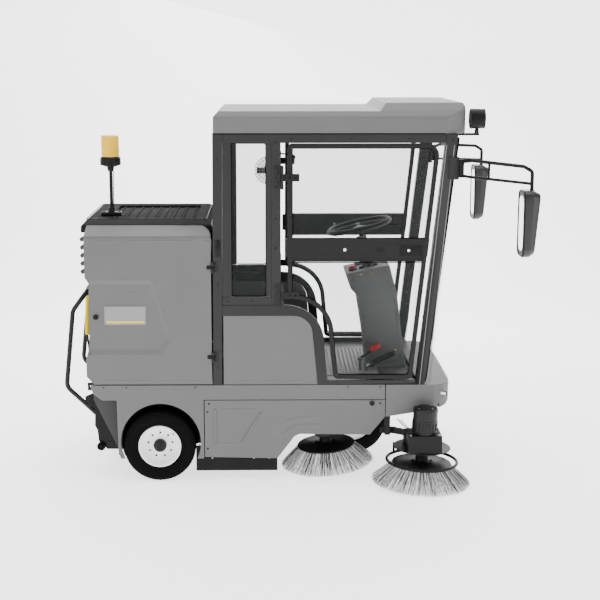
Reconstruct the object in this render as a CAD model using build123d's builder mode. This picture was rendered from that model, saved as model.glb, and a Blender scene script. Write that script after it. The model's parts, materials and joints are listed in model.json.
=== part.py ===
"""Ride-on sweeper with a driver's cab, modelled as separate pieces in one frame.

Millimetres. +X is forward, +Y is to the driver's left and +Z is up. The origin is on the
floor, under the middle of the machine's length and width.
"""
from build123d import *
import math
import os

os.makedirs("parts", exist_ok=True)

# Driving dimensions
HALF_WIDTH = 525            # outer face of the body sides and of the cab frame
FLOOR_TOP = 525             # top of the lower body and of the cab floor
WHEEL_RADIUS = 190          # all three wheels are 380 mm tall
TYRE_WIDTH = 120
REAR_AXLE_X = -692
DRIVE_WHEEL_X = 357
RUNNING_CLEARANCE = 0.05    # radial gap of every pin in its bore
FRAME_DEPTH = 50            # how far the cab frame reaches inwards
ROOF_BASE = 1829
HOOD_TOP = 1376
HOOD_HALF_WIDTH = 366
SIDES = {"right": -1, "left": 1}


def save(piece, name):
    """Label a finished piece and write it as its own file."""
    piece.label = name
    export_step(piece, f"parts/{name}.step")


def group(pieces, name):
    """Write several separate solids that belong to one named piece."""
    save(Compound(children=pieces), name)


def side_plane(y):
    """Upright plane at y: local x is forward, local y is up, the normal points to -Y."""
    return Plane(origin=(0, y, 0), x_dir=(1, 0, 0), z_dir=(0, -1, 0))


def cross_plane(x):
    """Upright plane across the machine at x: local x is +Y and local y is up."""
    return Plane(origin=(x, 0, 0), x_dir=(0, 1, 0), z_dir=(1, 0, 0))


def block(x_span, y_span, z_span):
    """Box between two corners, given as one span for each axis."""
    spans = (x_span, y_span, z_span)
    middle = tuple((low + high) / 2 for low, high in spans)
    with BuildPart(Plane(origin=middle)) as piece:
        Box(*(abs(high - low) for low, high in spans))
    return piece.part


def sided(side, inner, outer):
    """Span along Y between two distances from the centre plane, on one side."""
    return tuple(sorted((side * inner, side * outer)))


def slab(points, y_span, radii=None):
    """Plate with a side-view outline; radii maps a corner's index to its rounding."""
    with BuildPart() as piece:
        with BuildSketch(side_plane(max(y_span))) as outline:
            with BuildLine():
                Polyline(*points, close=True)
            make_face()
            for index, radius in (radii or {}).items():
                corner = outline.vertices().sort_by_distance(Vector(*points[index]))[0]
                fillet(corner, radius)
        extrude(amount=max(y_span) - min(y_span))
    return piece.part


def bar(start, end, width, height=None):
    """Straight bar between two points: round if only a width is given."""
    direction = Vector(*end) - Vector(*start)
    plane = Plane(origin=start, z_dir=direction)
    with BuildPart() as piece:
        with BuildSketch(plane):
            if height is None:
                Circle(width / 2)
            else:
                Rectangle(width, height)
        extrude(amount=direction.length)
    return piece.part


def tube_beam(start, end, width, height, wall):
    """Hollow rectangular beam between two points."""
    direction = Vector(*end) - Vector(*start)
    x_dir = (0, 0, 1) if abs(direction.Z) < 1 else (1, 0, 0)
    with BuildPart() as piece:
        with BuildSketch(Plane(origin=start, x_dir=x_dir, z_dir=direction)):
            Rectangle(height, width)
            Rectangle(height - 2 * wall, width - 2 * wall, mode=Mode.SUBTRACT)
        extrude(amount=direction.length)
    return piece.part


def bent_tube(points, diameter, bend_radius):
    """Round bar bent through points that lie in any plane."""
    with BuildPart() as piece:
        with BuildLine() as path:
            FilletPolyline(*points, radius=bend_radius)
        with BuildSketch(Plane(origin=path.line @ 0, z_dir=path.line % 0)):
            Circle(diameter / 2)
        sweep(path=path.line)
    return piece.part


def turned(profile, origin, direction):
    """Solid turned about an axis from closed (radius, distance along the axis) points."""
    along = Vector(*direction).normalized()
    other = Vector(0, 1, 0) if abs(along.Y) < 0.9 else Vector(1, 0, 0)
    radial = other.cross(along).normalized()
    with BuildPart() as piece:
        with BuildSketch(Plane(origin=origin, x_dir=radial, z_dir=radial.cross(along))):
            with BuildLine():
                Polyline(*profile, close=True)
            make_face()
        revolve(axis=Axis(origin, along))
    return piece.part


def joined(pieces, cuts=()):
    """Fuse pieces into one and take the cuts away."""
    with BuildPart() as piece:
        add(pieces)
        if cuts:
            add(cuts, mode=Mode.SUBTRACT)
    return piece.part


def common(first, second):
    """What two solids share: a side view cut by another view."""
    with BuildPart() as piece:
        add(first)
        add(second, mode=Mode.INTERSECT)
    return piece.part


# ---------------------------------------------------------------- chassis
RAIL_INNER, RAIL_OUTER = 300, 360
RAIL_BASE, RAIL_TOP = 445, 505
RAIL_REAR, RAIL_FRONT = -1000, 560
RAIL_WALL = 5
AXLE_RADIUS = 15
STEM_RADIUS = 30
CROSS_MEMBERS_X = (-970, -430, -60, 530)
OUTRIGGERS_X = (-1000, -430, 60, 480)
BRUSH_BRACKET_X = 514           # pivot of the front side brush's arm
BRUSH_BRACKET_Z = 257
BRUSH_PIN_RADIUS = 8
MID_ARM_X = -20
MID_ARM_Z = 380
LASHING = (-1064, 476)          # lashing eyes at the rear ends of the rails

rail_middle = (RAIL_INNER + RAIL_OUTER) / 2
rail_height_middle = (RAIL_BASE + RAIL_TOP) / 2
frame_pieces = []
for x in CROSS_MEMBERS_X:
    frame_pieces.append(tube_beam((x, -RAIL_INNER, rail_height_middle),
                                  (x, RAIL_INNER, rail_height_middle), 60, 60, RAIL_WALL))
frame_pieces.append(joined(
    [block((DRIVE_WHEEL_X - 60, DRIVE_WHEEL_X + 60), (-RAIL_INNER, RAIL_INNER), (470, 504))],
    [bar((DRIVE_WHEEL_X, 0, 460), (DRIVE_WHEEL_X, 0, 510), 2 * (STEM_RADIUS + RUNNING_CLEARANCE))]))
for side in SIDES.values():
    frame_pieces.append(tube_beam((RAIL_REAR, side * rail_middle, rail_height_middle),
                                  (RAIL_FRONT, side * rail_middle, rail_height_middle),
                                  60, 60, RAIL_WALL))
    frame_pieces.append(block((REAR_AXLE_X - 40, REAR_AXLE_X + 40),
                              sided(side, RAIL_OUTER, RAIL_OUTER + 16), (150, RAIL_TOP)))
    frame_pieces.append(bar((REAR_AXLE_X, side * (RAIL_OUTER + 16), WHEEL_RADIUS),
                            (REAR_AXLE_X, side * 497, WHEEL_RADIUS), 2 * AXLE_RADIUS))
    frame_pieces.append(joined([block((-1086, RAIL_REAR), sided(side, 345, 361), (455, 497))],
                               [bar((LASHING[0], side * 340, LASHING[1]), (LASHING[0], side * 370,
                                                                           LASHING[1]), 20)]))
    frame_pieces.append(joined([block((-280, -220), sided(side, 338, 350), (110, RAIL_BASE))],
                               [bar((-250, side * 330, 152), (-250, side * 360, 152),
                                    2 * (20 + RUNNING_CLEARANCE))]))
    for x in OUTRIGGERS_X:
        frame_pieces.append(block((x, x + 30), sided(side, RAIL_OUTER, 502), (465, 504)))
# Hanger and pin of the front side brush's arm, on the right under the front outrigger
frame_pieces.append(block((480, BRUSH_BRACKET_X + 15), (-480, -440), (455, 465)))
frame_pieces.append(block((BRUSH_BRACKET_X - 15, BRUSH_BRACKET_X + 15), (-478, -470),
                          (BRUSH_BRACKET_Z - 20, 455)))
frame_pieces.append(bar((BRUSH_BRACKET_X, -470, BRUSH_BRACKET_Z), (BRUSH_BRACKET_X, -430, BRUSH_BRACKET_Z),
                        2 * BRUSH_PIN_RADIUS))
# Hanger and pin of the middle side brush's arm, under the right rail
frame_pieces.append(block((MID_ARM_X - 20, MID_ARM_X + 20), (-312, -300), (MID_ARM_Z - 20, RAIL_BASE)))
frame_pieces.append(bar((MID_ARM_X, -312, MID_ARM_Z), (MID_ARM_X, -348, MID_ARM_Z), 16))
group(frame_pieces, "chassis_frame")

# ---------------------------------------------------------------- lower body sides
SIDE_SKIN = 20
ARCH_X, ARCH_Z, ARCH_RADIUS = -685, 214, 211
FENDER_FRONT = -455
PANEL_TOP = 443
fender_outline = [(-1047, FLOOR_TOP), (-1044, 502), (-1033, 477), (-989, 444), (-913, 444), (-909, 152),
                  (-895, 125), (-460, 125), (FENDER_FRONT - 2, 134), (FENDER_FRONT - 2, PANEL_TOP + 3),
                  (495, PANEL_TOP + 3), (495, FLOOR_TOP)]
access_outline = [(FENDER_FRONT + 2, 134), (-70, 125), (22, 248), (49, 258), (418, 254), (496, 350),
                  (496, PANEL_TOP), (FENDER_FRONT + 2, PANEL_TOP)]
for name, side in SIDES.items():
    side_span = sided(side, HALF_WIDTH - SIDE_SKIN, HALF_WIDTH)
    wheel_cut = bar((ARCH_X, side * 495, ARCH_Z), (ARCH_X, side * 535, ARCH_Z), 2 * ARCH_RADIUS)
    below_cut = block((ARCH_X - 193, ARCH_X + 193), sided(side, 495, 535), (100, ARCH_Z - 86))
    fender = joined([slab(fender_outline, side_span)], [wheel_cut, below_cut])
    access_panel = slab(access_outline, side_span, {1: 20, 2: 30, 4: 10})
    ribs = [slab([(-404, 200), (-390, 200), (-390, 395), (-404, 395)],
                 sided(side, HALF_WIDTH, HALF_WIDTH + 4)),
            slab([(-262, 215), (-248, 215), (-150, 375), (-164, 375)],
                 sided(side, HALF_WIDTH, HALF_WIDTH + 4))]
    knob = bar((427, side * HALF_WIDTH, 426), (427, side * (HALF_WIDTH + 9), 426), 26)
    group([fender, joined([access_panel, knob, *ribs])], f"body_side_{name}")

# ---------------------------------------------------------------- front cowl
COWL_REAR = 499
COWL_NOSE = 877
COWL_WALL = 10


def cowl_form(inset, z_shift):
    """Nose form: a side profile cut by a plan with round front corners."""
    nose = COWL_NOSE - inset
    profile = slab([(COWL_REAR, 350), (762, 392), (nose - 60, 405), (nose, 455), (nose - 12, 490),
                    (nose - 45, FLOOR_TOP - z_shift), (COWL_REAR, FLOOR_TOP - z_shift)],
                   (-HALF_WIDTH, HALF_WIDTH))
    half = HALF_WIDTH - inset
    with BuildPart() as plan:
        with BuildSketch(Plane.XY.offset(300)):
            with BuildLine():
                Polyline((nose - 130, half), (COWL_REAR, half), (COWL_REAR, -half), (nose - 130, -half))
                RadiusArc((nose - 130, -half), (nose - 36, -half + 110), -118)
                RadiusArc((nose - 130, half), (nose - 36, half - 110), 118)
                ThreePointArc((nose - 36, -half + 110), (nose, 0), (nose - 36, half - 110))
            make_face()
        extrude(amount=300)
    return common(profile, plan.part)


front_cowl = joined([cowl_form(0, 0)], [cowl_form(COWL_WALL, COWL_WALL),
                                        block((490, 780), (-515, 515), (340, 420))])
save(front_cowl, "front_cowl")

# ---------------------------------------------------------------- cab floor with pedal hinges
PEDAL_Y = -200
BRAKE_PIVOT = (385, 588)
THROTTLE_PIVOT = (418, 541)
floor_pieces = [block((-389, COWL_REAR - 1), (-500, 500), (507, FLOOR_TOP)),
                block((385 - 8, 385 + 8), (PEDAL_Y - 30, PEDAL_Y - 22), (FLOOR_TOP, 600)),
                bar((BRAKE_PIVOT[0], PEDAL_Y - 22, BRAKE_PIVOT[1]),
                    (BRAKE_PIVOT[0], PEDAL_Y + 12, BRAKE_PIVOT[1]), 12)]
for y in (PEDAL_Y - 40, PEDAL_Y + 34):
    floor_pieces.append(block((410, 426), (y, y + 6), (FLOOR_TOP, 550)))
floor_pieces.append(bar((THROTTLE_PIVOT[0], PEDAL_Y - 40, THROTTLE_PIVOT[1]),
                        (THROTTLE_PIVOT[0], PEDAL_Y + 40, THROTTLE_PIVOT[1]), 8))
save(joined(floor_pieces), "cab_floor")

# ---------------------------------------------------------------- cab frame
C_PILLAR_BASE = [(-405, 527), (-360, 527), (-349, ROOF_BASE), (-399, ROOF_BASE)]
B_PILLAR_X = (-100, -53)
A_PILLAR = [(653, 527), (702, 527), (846, ROOF_BASE), (787, ROOF_BASE)]
RAIL_Z = (1785, ROOF_BASE)
WINDOW_SILL_Z = (952, 994)
BAND_OUTER = [(-356, 951), (158, 951), (192, 527), (142, 527), (107, 896), (-356, 896)]
HINGE_Y = 533
CAB_HINGE_X = -45
CAB_HINGE_Z = (1611, 1003)
SERVICE_HINGE_X = -405
SERVICE_HINGE_Z = (1150, 677)
BARREL_RADIUS = 7
HINGE_PIN_RADIUS = 4


def fixed_hinge(x, side, z, half_height, leaf_x):
    """Pillar half of a hinge: a leaf, two barrels and the pin that joins them."""
    y = side * HINGE_Y
    barrel = half_height / 3 - 0.5
    pieces = [block(tuple(sorted((x, leaf_x))), sided(side, HALF_WIDTH, HALF_WIDTH + 4),
                    (z - half_height + 1, z + half_height - 1))]
    cut = bar((x, y, z - half_height / 3), (x, y, z + half_height / 3), 2 * (BARREL_RADIUS + 1))
    for low in (z - half_height, z + half_height / 3 + 0.5):
        pieces.append(bar((x, y, low), (x, y, low + 2 * barrel), 2 * BARREL_RADIUS))
    pin = bar((x, y, z - half_height + 3), (x, y, z + half_height - 3), 2 * HINGE_PIN_RADIUS)
    return joined([joined(pieces, [cut]), pin])


def moving_hinge(x, side, z, half_height, strap_x):
    """Door half of a hinge: a strap on the door and one barrel round the pin."""
    y = side * HINGE_Y
    third = half_height / 3 - 0.5
    strap = block(tuple(sorted((x, strap_x))), sided(side, HALF_WIDTH + 1, HALF_WIDTH + 5),
                  (z - third, z + third))
    barrel = bar((x, y, z - third), (x, y, z + third), 2 * BARREL_RADIUS)
    bore = bar((x, y, z - half_height), (x, y, z + half_height),
               2 * (HINGE_PIN_RADIUS + RUNNING_CLEARANCE))
    return joined([strap, barrel], [bore])


LIGHT_PIVOT_Z = 1838
cab_pieces = []
for side in SIDES.values():
    depth = sided(side, HALF_WIDTH - FRAME_DEPTH, HALF_WIDTH)
    flange = sided(side, HALF_WIDTH - 18, HALF_WIDTH - 2)
    cab_pieces += [
        slab(C_PILLAR_BASE, depth),
        block(B_PILLAR_X, depth, (952, RAIL_Z[0])),
        slab(A_PILLAR, depth),
        slab([(-349, RAIL_Z[0]), (781, RAIL_Z[0]), (786, ROOF_BASE), (-348, ROOF_BASE)], depth),
        slab([(-354, 996), (-306, 996), (-306, RAIL_Z[0]), (-347, RAIL_Z[0])], flange),
        block((-127, B_PILLAR_X[0]), flange, (996, RAIL_Z[0])),
        block((-354, B_PILLAR_X[0]), flange, WINDOW_SILL_Z),
        slab(BAND_OUTER, sided(side, HALF_WIDTH - 22, HALF_WIDTH), {1: 200, 4: 100}),
        block((193, 653), sided(side, HALF_WIDTH - 34, HALF_WIDTH), (527, 550)),
        block((800, 852), sided(side, HALF_WIDTH, HALF_WIDTH + 8), (1600, 1715)),
        joined([block((840, 966), sided(side, 405, 435), (1817, ROOF_BASE)),
                block((945, 963), sided(side, 403, 408), (1825, 1845)),
                block((945, 963), sided(side, 432, 437), (1825, 1845)),
                bar((954, side * 404, LIGHT_PIVOT_Z), (954, side * 436, LIGHT_PIVOT_Z), 8)]),
    ]
    for z in CAB_HINGE_Z:
        cab_pieces.append(fixed_hinge(CAB_HINGE_X, side, z, 60, CAB_HINGE_X - 42))
    for z in SERVICE_HINGE_Z:
        cab_pieces.append(fixed_hinge(SERVICE_HINGE_X, side, z, 28, SERVICE_HINGE_X + 26))
for x_span, z_span in (((-399, -352), RAIL_Z), ((797, 840), RAIL_Z), ((654, 700), (527, 560))):
    inner = HALF_WIDTH - FRAME_DEPTH
    cab_pieces.append(block(x_span, (-inner, inner), z_span))
group(cab_pieces, "cab_frame")

# ---------------------------------------------------------------- roof
ROOF_HALF = 520
ROOF_FRONT = 905
roof_profile = [(-396, ROOF_BASE + 1), (-396, 1916), (-366, 1944), (452, 1944), (485, 1984), (880, 1984),
                (900, 1944), (ROOF_FRONT, 1920), (901, 1875), (892, ROOF_BASE + 1)]
with BuildPart() as roof_plan:
    with BuildSketch(Plane.XY.offset(ROOF_BASE)):
        with BuildLine():
            Polyline((785, ROOF_HALF), (-396, ROOF_HALF), (-396, -ROOF_HALF), (785, -ROOF_HALF))
            RadiusArc((785, -ROOF_HALF), (896, -400), -120)
            RadiusArc((785, ROOF_HALF), (896, 400), 120)
            ThreePointArc((896, -400), (ROOF_FRONT, 0), (896, 400))
        make_face()
    extrude(amount=200)
with BuildPart() as roof_section:
    with BuildSketch(cross_plane(-400)):
        with BuildLine():
            Polyline((ROOF_HALF, ROOF_BASE), (ROOF_HALF, 1916), (485, 1946), (468, 1955), (425, 1984),
                     (-425, 1984), (-468, 1955), (-485, 1946), (-ROOF_HALF, 1916), (-ROOF_HALF, ROOF_BASE),
                     close=True)
        make_face()
    extrude(amount=1300)
roof_outer = common(common(slab(roof_profile, (-ROOF_HALF, ROOF_HALF)), roof_plan.part), roof_section.part)
ROOF_WALL = 8
roof_hollow = [block((-388, 780), (-505, 505), (ROOF_BASE - 1, 1908)),
               block((-360, 860), (-390, 390), (ROOF_BASE - 1, 1936)),
               block((500, 860), (-390, 390), (1930, 1984 - ROOF_WALL))]
save(joined([roof_outer], roof_hollow), "roof_panel")

# ---------------------------------------------------------------- glass
GLASS = 6
WIPER_PIVOT = (760, -60, 790)
WIPER_NORMAL = (0.9958, 0, -0.0917)


def along(point, direction, distance):
    """Point at a distance from another along a direction."""
    return tuple(p + distance * d for p, d in zip(point, direction))


SPINDLE_RADIUS = 6
windscreen = joined([slab([(727, 530), (733, 530), (851, 1812), (845, 1812)], (-512, 512))],
                    [bar(along(WIPER_PIVOT, WIPER_NORMAL, -30), along(WIPER_PIVOT, WIPER_NORMAL, 10),
                         2 * (SPINDLE_RADIUS + RUNNING_CLEARANCE))])
save(windscreen, "windscreen")
panes = [block((-384, -378), (-470, 470), (1382, 1780))]
for side in SIDES.values():
    panes.append(slab([(-304, 997), (-129, 997), (-129, 1783), (-304, 1783)],
                      sided(side, HALF_WIDTH - 14, HALF_WIDTH - 14 + GLASS)))
group(panes, "cab_glass")

# ---------------------------------------------------------------- quarter panels beside the seat
for name, side in SIDES.items():
    save(slab([(-351, 527), (-351, 895), (106, 895), (140, 527)],
              sided(side, HALF_WIDTH - 20, HALF_WIDTH - 4), {2: 100}), f"quarter_panel_{name}")

# ---------------------------------------------------------------- rear enclosure behind the cab
enclosure = [block((-402, -394), (-474, 474), (FLOOR_TOP + 1, 1302)),
             block((-1042, -1034), (-474, 474), (FLOOR_TOP + 1, 1302)),
             block((-1034, -402), (-490, 490), (FLOOR_TOP - 18, FLOOR_TOP))]
LEVER_Y = -200
LEVER_PIVOT = (-1086, 580)
for y in (LEVER_Y - 21, LEVER_Y + 15):
    enclosure.append(joined([block((-1098, -1042), (y, y + 6), (562, 598))],
                            [bar((LEVER_PIVOT[0], y - 5, LEVER_PIVOT[1]),
                                 (LEVER_PIVOT[0], y + 12, LEVER_PIVOT[1]), 2 * (6 + RUNNING_CLEARANCE))]))
group(enclosure, "rear_enclosure")

# ---------------------------------------------------------------- machinery behind the cab
save(block((-980, -450), (-380, 380), (FLOOR_TOP + 2, 880)), "battery_pack")
save(joined([joined([block((-960, -480), (-360, 360), (900, 1280))], [block((-955, -485), (-355, 355),
                                                                            (895, 1275))]),
             bar((-720, 0, 1280), (-720, 0, 1330), 300)]), "filter_housing")

# ---------------------------------------------------------------- hood
HOOD_FRONT = -404
HOOD_REAR = -1095
hood_side = slab([(HOOD_REAR, 1312), (HOOD_REAR, 1345), (-1066, HOOD_TOP), (-447, HOOD_TOP), (-416, 1362),
                  (HOOD_FRONT, 1330), (HOOD_FRONT, 1312)], (-HOOD_HALF_WIDTH - 20, HOOD_HALF_WIDTH + 20),
                 {3: 30})
with BuildPart() as hood_section:
    with BuildSketch(cross_plane(HOOD_REAR - 5)):
        with BuildLine():
            Polyline((386, 1312), (386, 1352), (HOOD_HALF_WIDTH, HOOD_TOP), (-HOOD_HALF_WIDTH, HOOD_TOP),
                     (-386, 1352), (-386, 1312), close=True)
        make_face()
    extrude(amount=720)
grille_well = block((-960, -500), (-300, 300), (HOOD_TOP - 26, HOOD_TOP + 10))
hood_hollow = block((HOOD_REAR + 30, HOOD_FRONT - 20), (-370, 370), (1300, HOOD_TOP - 34))
save(joined([common(hood_side, hood_section.part)], [grille_well, hood_hollow]), "hood_cover")
grille_bars = [block((-958, -502), (-298, 298), (HOOD_TOP - 26, HOOD_TOP - 22))]
for index in range(9):
    x = -935 + index * 51
    grille_bars.append(block((x, x + 8), (-298, 298), (HOOD_TOP - 22, HOOD_TOP - 8)))
save(joined(grille_bars), "hood_grille")

# ---------------------------------------------------------------- warning beacon
BEACON = (-953, -200)
clamp = [block((BEACON[0] - 55, BEACON[0] + 55), (BEACON[1] - 14, BEACON[1] + 14), (HOOD_TOP, HOOD_TOP + 8)),
         block((BEACON[0] - 18, BEACON[0] + 18), (BEACON[1] - 18, BEACON[1] + 18), (HOOD_TOP, HOOD_TOP + 30))]
beacon_stand = joined(clamp + [
    bar((*BEACON, HOOD_TOP), (*BEACON, 1641), 18),
    turned([(0, 1641), (30, 1641), (55, 1650), (55, 1684), (50, 1692), (0, 1692)], (*BEACON, 0), (0, 0, 1))])
save(beacon_stand, "beacon_pole")
save(turned([(0, 1692.5), (48, 1692.5), (48, 1798), (44, 1806), (0, 1807)], (*BEACON, 0), (0, 0, 1)),
     "beacon_lens")

# ---------------------------------------------------------------- side skirts and fasteners
skirts = []
for side in SIDES.values():
    skirts.append(block((-501, -70), sided(side, HALF_WIDTH - 28, HALF_WIDTH - 20.5), (52, 190)))
group(skirts, "side_skirts")
screws = []
for side in SIDES.values():
    for z in CAB_HINGE_Z:
        for x_off, z_off in ((-32, -46), (-22, -24), (-32, 0), (-22, 24), (-32, 46)):
            screws.append(bar((CAB_HINGE_X + x_off, side * (HALF_WIDTH + 4), z + z_off),
                              (CAB_HINGE_X + x_off, side * (HALF_WIDTH + 7), z + z_off), 9))
    for z in SERVICE_HINGE_Z:
        for z_off in (-18, 0, 18):
            screws.append(bar((SERVICE_HINGE_X + 16, side * (HALF_WIDTH + 4), z + z_off),
                              (SERVICE_HINGE_X + 16, side * (HALF_WIDTH + 7), z + z_off), 9))
group(screws, "hinge_screws")

# ---------------------------------------------------------------- rear wheels
RIM_RADIUS = 119
for name, side in SIDES.items():
    axle = (REAR_AXLE_X, 0, WHEEL_RADIUS)
    inner, outer = HALF_WIDTH - TYRE_WIDTH, HALF_WIDTH
    tread = WHEEL_RADIUS
    save(turned([(RIM_RADIUS - 6, side * (inner + 12)), (tread - 40, side * inner), (tread - 8,
                                                                                     side * (inner + 8)),
                 (tread, side * (inner + 24)), (tread, side * (outer - 24)), (tread - 8, side * (outer - 8)),
                 (tread - 40, side * outer), (RIM_RADIUS - 6, side * (outer - 12))], axle, (0, 1, 0)),
         f"tyre_{name}")
    hub = AXLE_RADIUS + RUNNING_CLEARANCE
    rim = turned([(hub, side * 400), (34, side * 400), (34, side * 440), (RIM_RADIUS - 16, side * 452),
                  (RIM_RADIUS - 16, side * 418), (RIM_RADIUS - 6.5, side * 412), (RIM_RADIUS - 6.5,
                                                                                  side * 518),
                  (RIM_RADIUS - 14, side * 520), (RIM_RADIUS - 22, side * 478), (60, side * 474),
                  (34, side * 482), (34, side * 498), (hub, side * 498)], axle, (0, 1, 0))
    holes = []
    for index in range(9):
        angle = math.radians(90 + index * 40)
        x, z = REAR_AXLE_X + 65 * math.cos(angle), WHEEL_RADIUS + 65 * math.sin(angle)
        holes.append(bar((x, side * 420, z), (x, side * 520, z), 9))
    cap = bar((REAR_AXLE_X, side * 498, WHEEL_RADIUS), (REAR_AXLE_X, side * 508, WHEEL_RADIUS), 67)
    save(joined([joined([rim], holes), cap]), f"rim_{name}")

# ---------------------------------------------------------------- steering fork and drive wheel
DRIVE_PIN_RADIUS = 12
fork = [bar((DRIVE_WHEEL_X, 0, 438), (DRIVE_WHEEL_X, 0, 503), 2 * STEM_RADIUS),
        block((DRIVE_WHEEL_X - 50, DRIVE_WHEEL_X + 50), (-92, 92), (394, 440)),
        bar((DRIVE_WHEEL_X, -86, WHEEL_RADIUS), (DRIVE_WHEEL_X, 86, WHEEL_RADIUS), 2 * DRIVE_PIN_RADIUS)]
for side in SIDES.values():
    fork.append(block((DRIVE_WHEEL_X - 24, DRIVE_WHEEL_X + 24), sided(side, 76, 92), (160, 396)))
save(joined(fork), "steering_fork")
drive_axle = (DRIVE_WHEEL_X, 0, WHEEL_RADIUS)
drive_tyre = turned([(110, -56), (150, -60), (182, -52), (190, -36), (190, 36), (182, 52), (150, 60),
                     (110, 56)],
                    drive_axle, (0, 1, 0))
drive_hub = turned([(DRIVE_PIN_RADIUS + RUNNING_CLEARANCE, -68), (60, -68), (100, -50), (109.5, -50),
                    (109.5, 50), (100, 50), (60, 68), (DRIVE_PIN_RADIUS + RUNNING_CLEARANCE, 68)],
                   drive_axle, (0, 1, 0))
group([drive_tyre, drive_hub], "drive_wheel")

# ---------------------------------------------------------------- steering console and wheel
STEER_TILT = math.radians(12.7)
STEER_CENTRE = (386, 0, 1297)
STEER_DIRECTION = (-math.sin(STEER_TILT), 0, math.cos(STEER_TILT))


def on_column(distance):
    """Point on the steering column, measured up from the middle of the wheel's rim."""
    return tuple(c + distance * d for c, d in zip(STEER_CENTRE, STEER_DIRECTION))


console_outline = [(430, 526), (417, 664), (374, 925), (334, 967), (316, 1020), (308, 1048), (500, 1092),
                   (545, 1096), (589, 934), (640, 526)]
console_hollow = [(438, 520), (425, 664), (382, 929), (342, 971), (324, 1022), (319, 1043), (500, 1084),
                  (539, 1088), (581, 934), (632, 520)]
SHAFT_RADIUS = 12
TOP_SLOPE = math.atan2(44, 192)
TOP_NORMAL = (-math.sin(TOP_SLOPE), 0, math.cos(TOP_SLOPE))
CONTROL_Y = -60
CONTROL_STEM = 17
STOP_X, KEY_X = 350, 436


def on_top(x, height):
    """Point above the console's sloping top, measured square to it."""
    foot = (x, CONTROL_Y, 1048 + (x - 308) * math.tan(TOP_SLOPE))
    return tuple(f + height * n for f, n in zip(foot, TOP_NORMAL))


bore = bar(on_column(-260), on_column(0), 2 * (SHAFT_RADIUS + RUNNING_CLEARANCE))
console = joined([slab(console_outline, (-150, 150), {2: 30, 3: 30, 6: 20}), bar(on_column(-225),
                                                                                 on_column(-60), 56)],
                 [slab(console_hollow, (-143, 143)), bore,
                  *(bar(on_top(x, -30), on_top(x, 10), CONTROL_STEM + 2 * RUNNING_CLEARANCE)
                    for x in (STOP_X, KEY_X))])
save(console, "steering_console")
RIM_SECTION = 14
SWEEP_RADIUS = 171
steering = [turned([(0, -235), (SHAFT_RADIUS, -235), (SHAFT_RADIUS, -30), (34, -25), (34, -8), (0, -8)],
                   STEER_CENTRE, STEER_DIRECTION)]
with BuildPart() as steering_rim:
    Torus(SWEEP_RADIUS, RIM_SECTION)
steer_plane = Plane(origin=STEER_CENTRE, x_dir=(math.cos(STEER_TILT), 0, math.sin(STEER_TILT)),
                    z_dir=STEER_DIRECTION)
steering.append(steering_rim.part.moved(steer_plane.location))
for angle in (90, 210, 330):
    reach = Vector(math.cos(math.radians(angle)), math.sin(math.radians(angle)), 0)
    start = steer_plane.from_local_coords(reach * 20 + Vector(0, 0, -18))
    end = steer_plane.from_local_coords(reach * (SWEEP_RADIUS - 4) + Vector(0, 0, -2))
    steering.append(bar(tuple(start), tuple(end), 22, 8))
save(joined(steering), "steering_wheel")
button = joined([bar(on_top(STOP_X, -14), on_top(STOP_X, 10), CONTROL_STEM),
                 bar(on_top(STOP_X, 8), on_top(STOP_X, 24), 40)])
save(button, "emergency_stop")
key = joined([bar(on_top(KEY_X, -14), on_top(KEY_X, 4), CONTROL_STEM),
              bar(on_top(KEY_X, 2), on_top(KEY_X, 10), 30), bar(on_top(KEY_X, 8), on_top(KEY_X, 34), 6, 20)])
save(key, "key_switch")

# ---------------------------------------------------------------- pedals
brake = joined([bar((BRAKE_PIVOT[0], PEDAL_Y - 20, BRAKE_PIVOT[1]), (BRAKE_PIVOT[0], PEDAL_Y + 8,
                                                                     BRAKE_PIVOT[1]), 24),
                bar((390, PEDAL_Y, 592), (464, PEDAL_Y, 646), 16),
                slab([(448, 628), (436, 648), (486, 676), (498, 656)], (PEDAL_Y - 19, PEDAL_Y + 19))],
               [bar((BRAKE_PIVOT[0], PEDAL_Y - 40, BRAKE_PIVOT[1]), (BRAKE_PIVOT[0], PEDAL_Y + 40,
                                                                     BRAKE_PIVOT[1]),
                    2 * (6 + RUNNING_CLEARANCE))])
save(brake, "brake_pedal")
throttle = joined([bar((THROTTLE_PIVOT[0], PEDAL_Y - 32, THROTTLE_PIVOT[1]),
                       (THROTTLE_PIVOT[0], PEDAL_Y + 32, THROTTLE_PIVOT[1]), 16),
                   slab([(412, 546), (417, 553), (572, 627), (577, 619)], (PEDAL_Y - 32, PEDAL_Y + 32))],
                  [bar((THROTTLE_PIVOT[0], PEDAL_Y - 60, THROTTLE_PIVOT[1]),
                       (THROTTLE_PIVOT[0], PEDAL_Y + 60, THROTTLE_PIVOT[1]), 2 * (4 + RUNNING_CLEARANCE))])
save(throttle, "accelerator_pedal")

# ---------------------------------------------------------------- seat
save(joined([block((-320, 60), (-190, 190), (FLOOR_TOP + 0.5, 660)),
             block((-300, 40), (-210, -190), (660, 672)), block((-300, 40), (190, 210), (660, 672)),
             block((-320, 60), (-190, 190), (660, 672))]), "seat_pedestal")
save(slab([(-330, 672.3), (80, 672.3), (100, 697), (96, 745), (60, 768), (-286, 758), (-330, 758)], (-215,
                                                                                                     215),
          {2: 20, 3: 25, 4: 25}), "seat_cushion")
save(slab([(-356, 690), (-330.3, 690), (-330.3, 758.3), (-289, 758.3), (-300, 850), (-354, 850)], (-205, 205),
          {4: 18, 5: 18}), "seat_backrest")

# ---------------------------------------------------------------- cab doors
DOOR_DEPTH = 28
DOOR_TUBE = 22
DOOR_LINE = [(-6, 1771), (745, 1771), (624, 566), (231, 568), (190, 994), (-6, 994)]
DOOR_ROUNDS = {0: 12, 1: 50, 2: 18, 3: 18, 4: 200, 5: 12}


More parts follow.
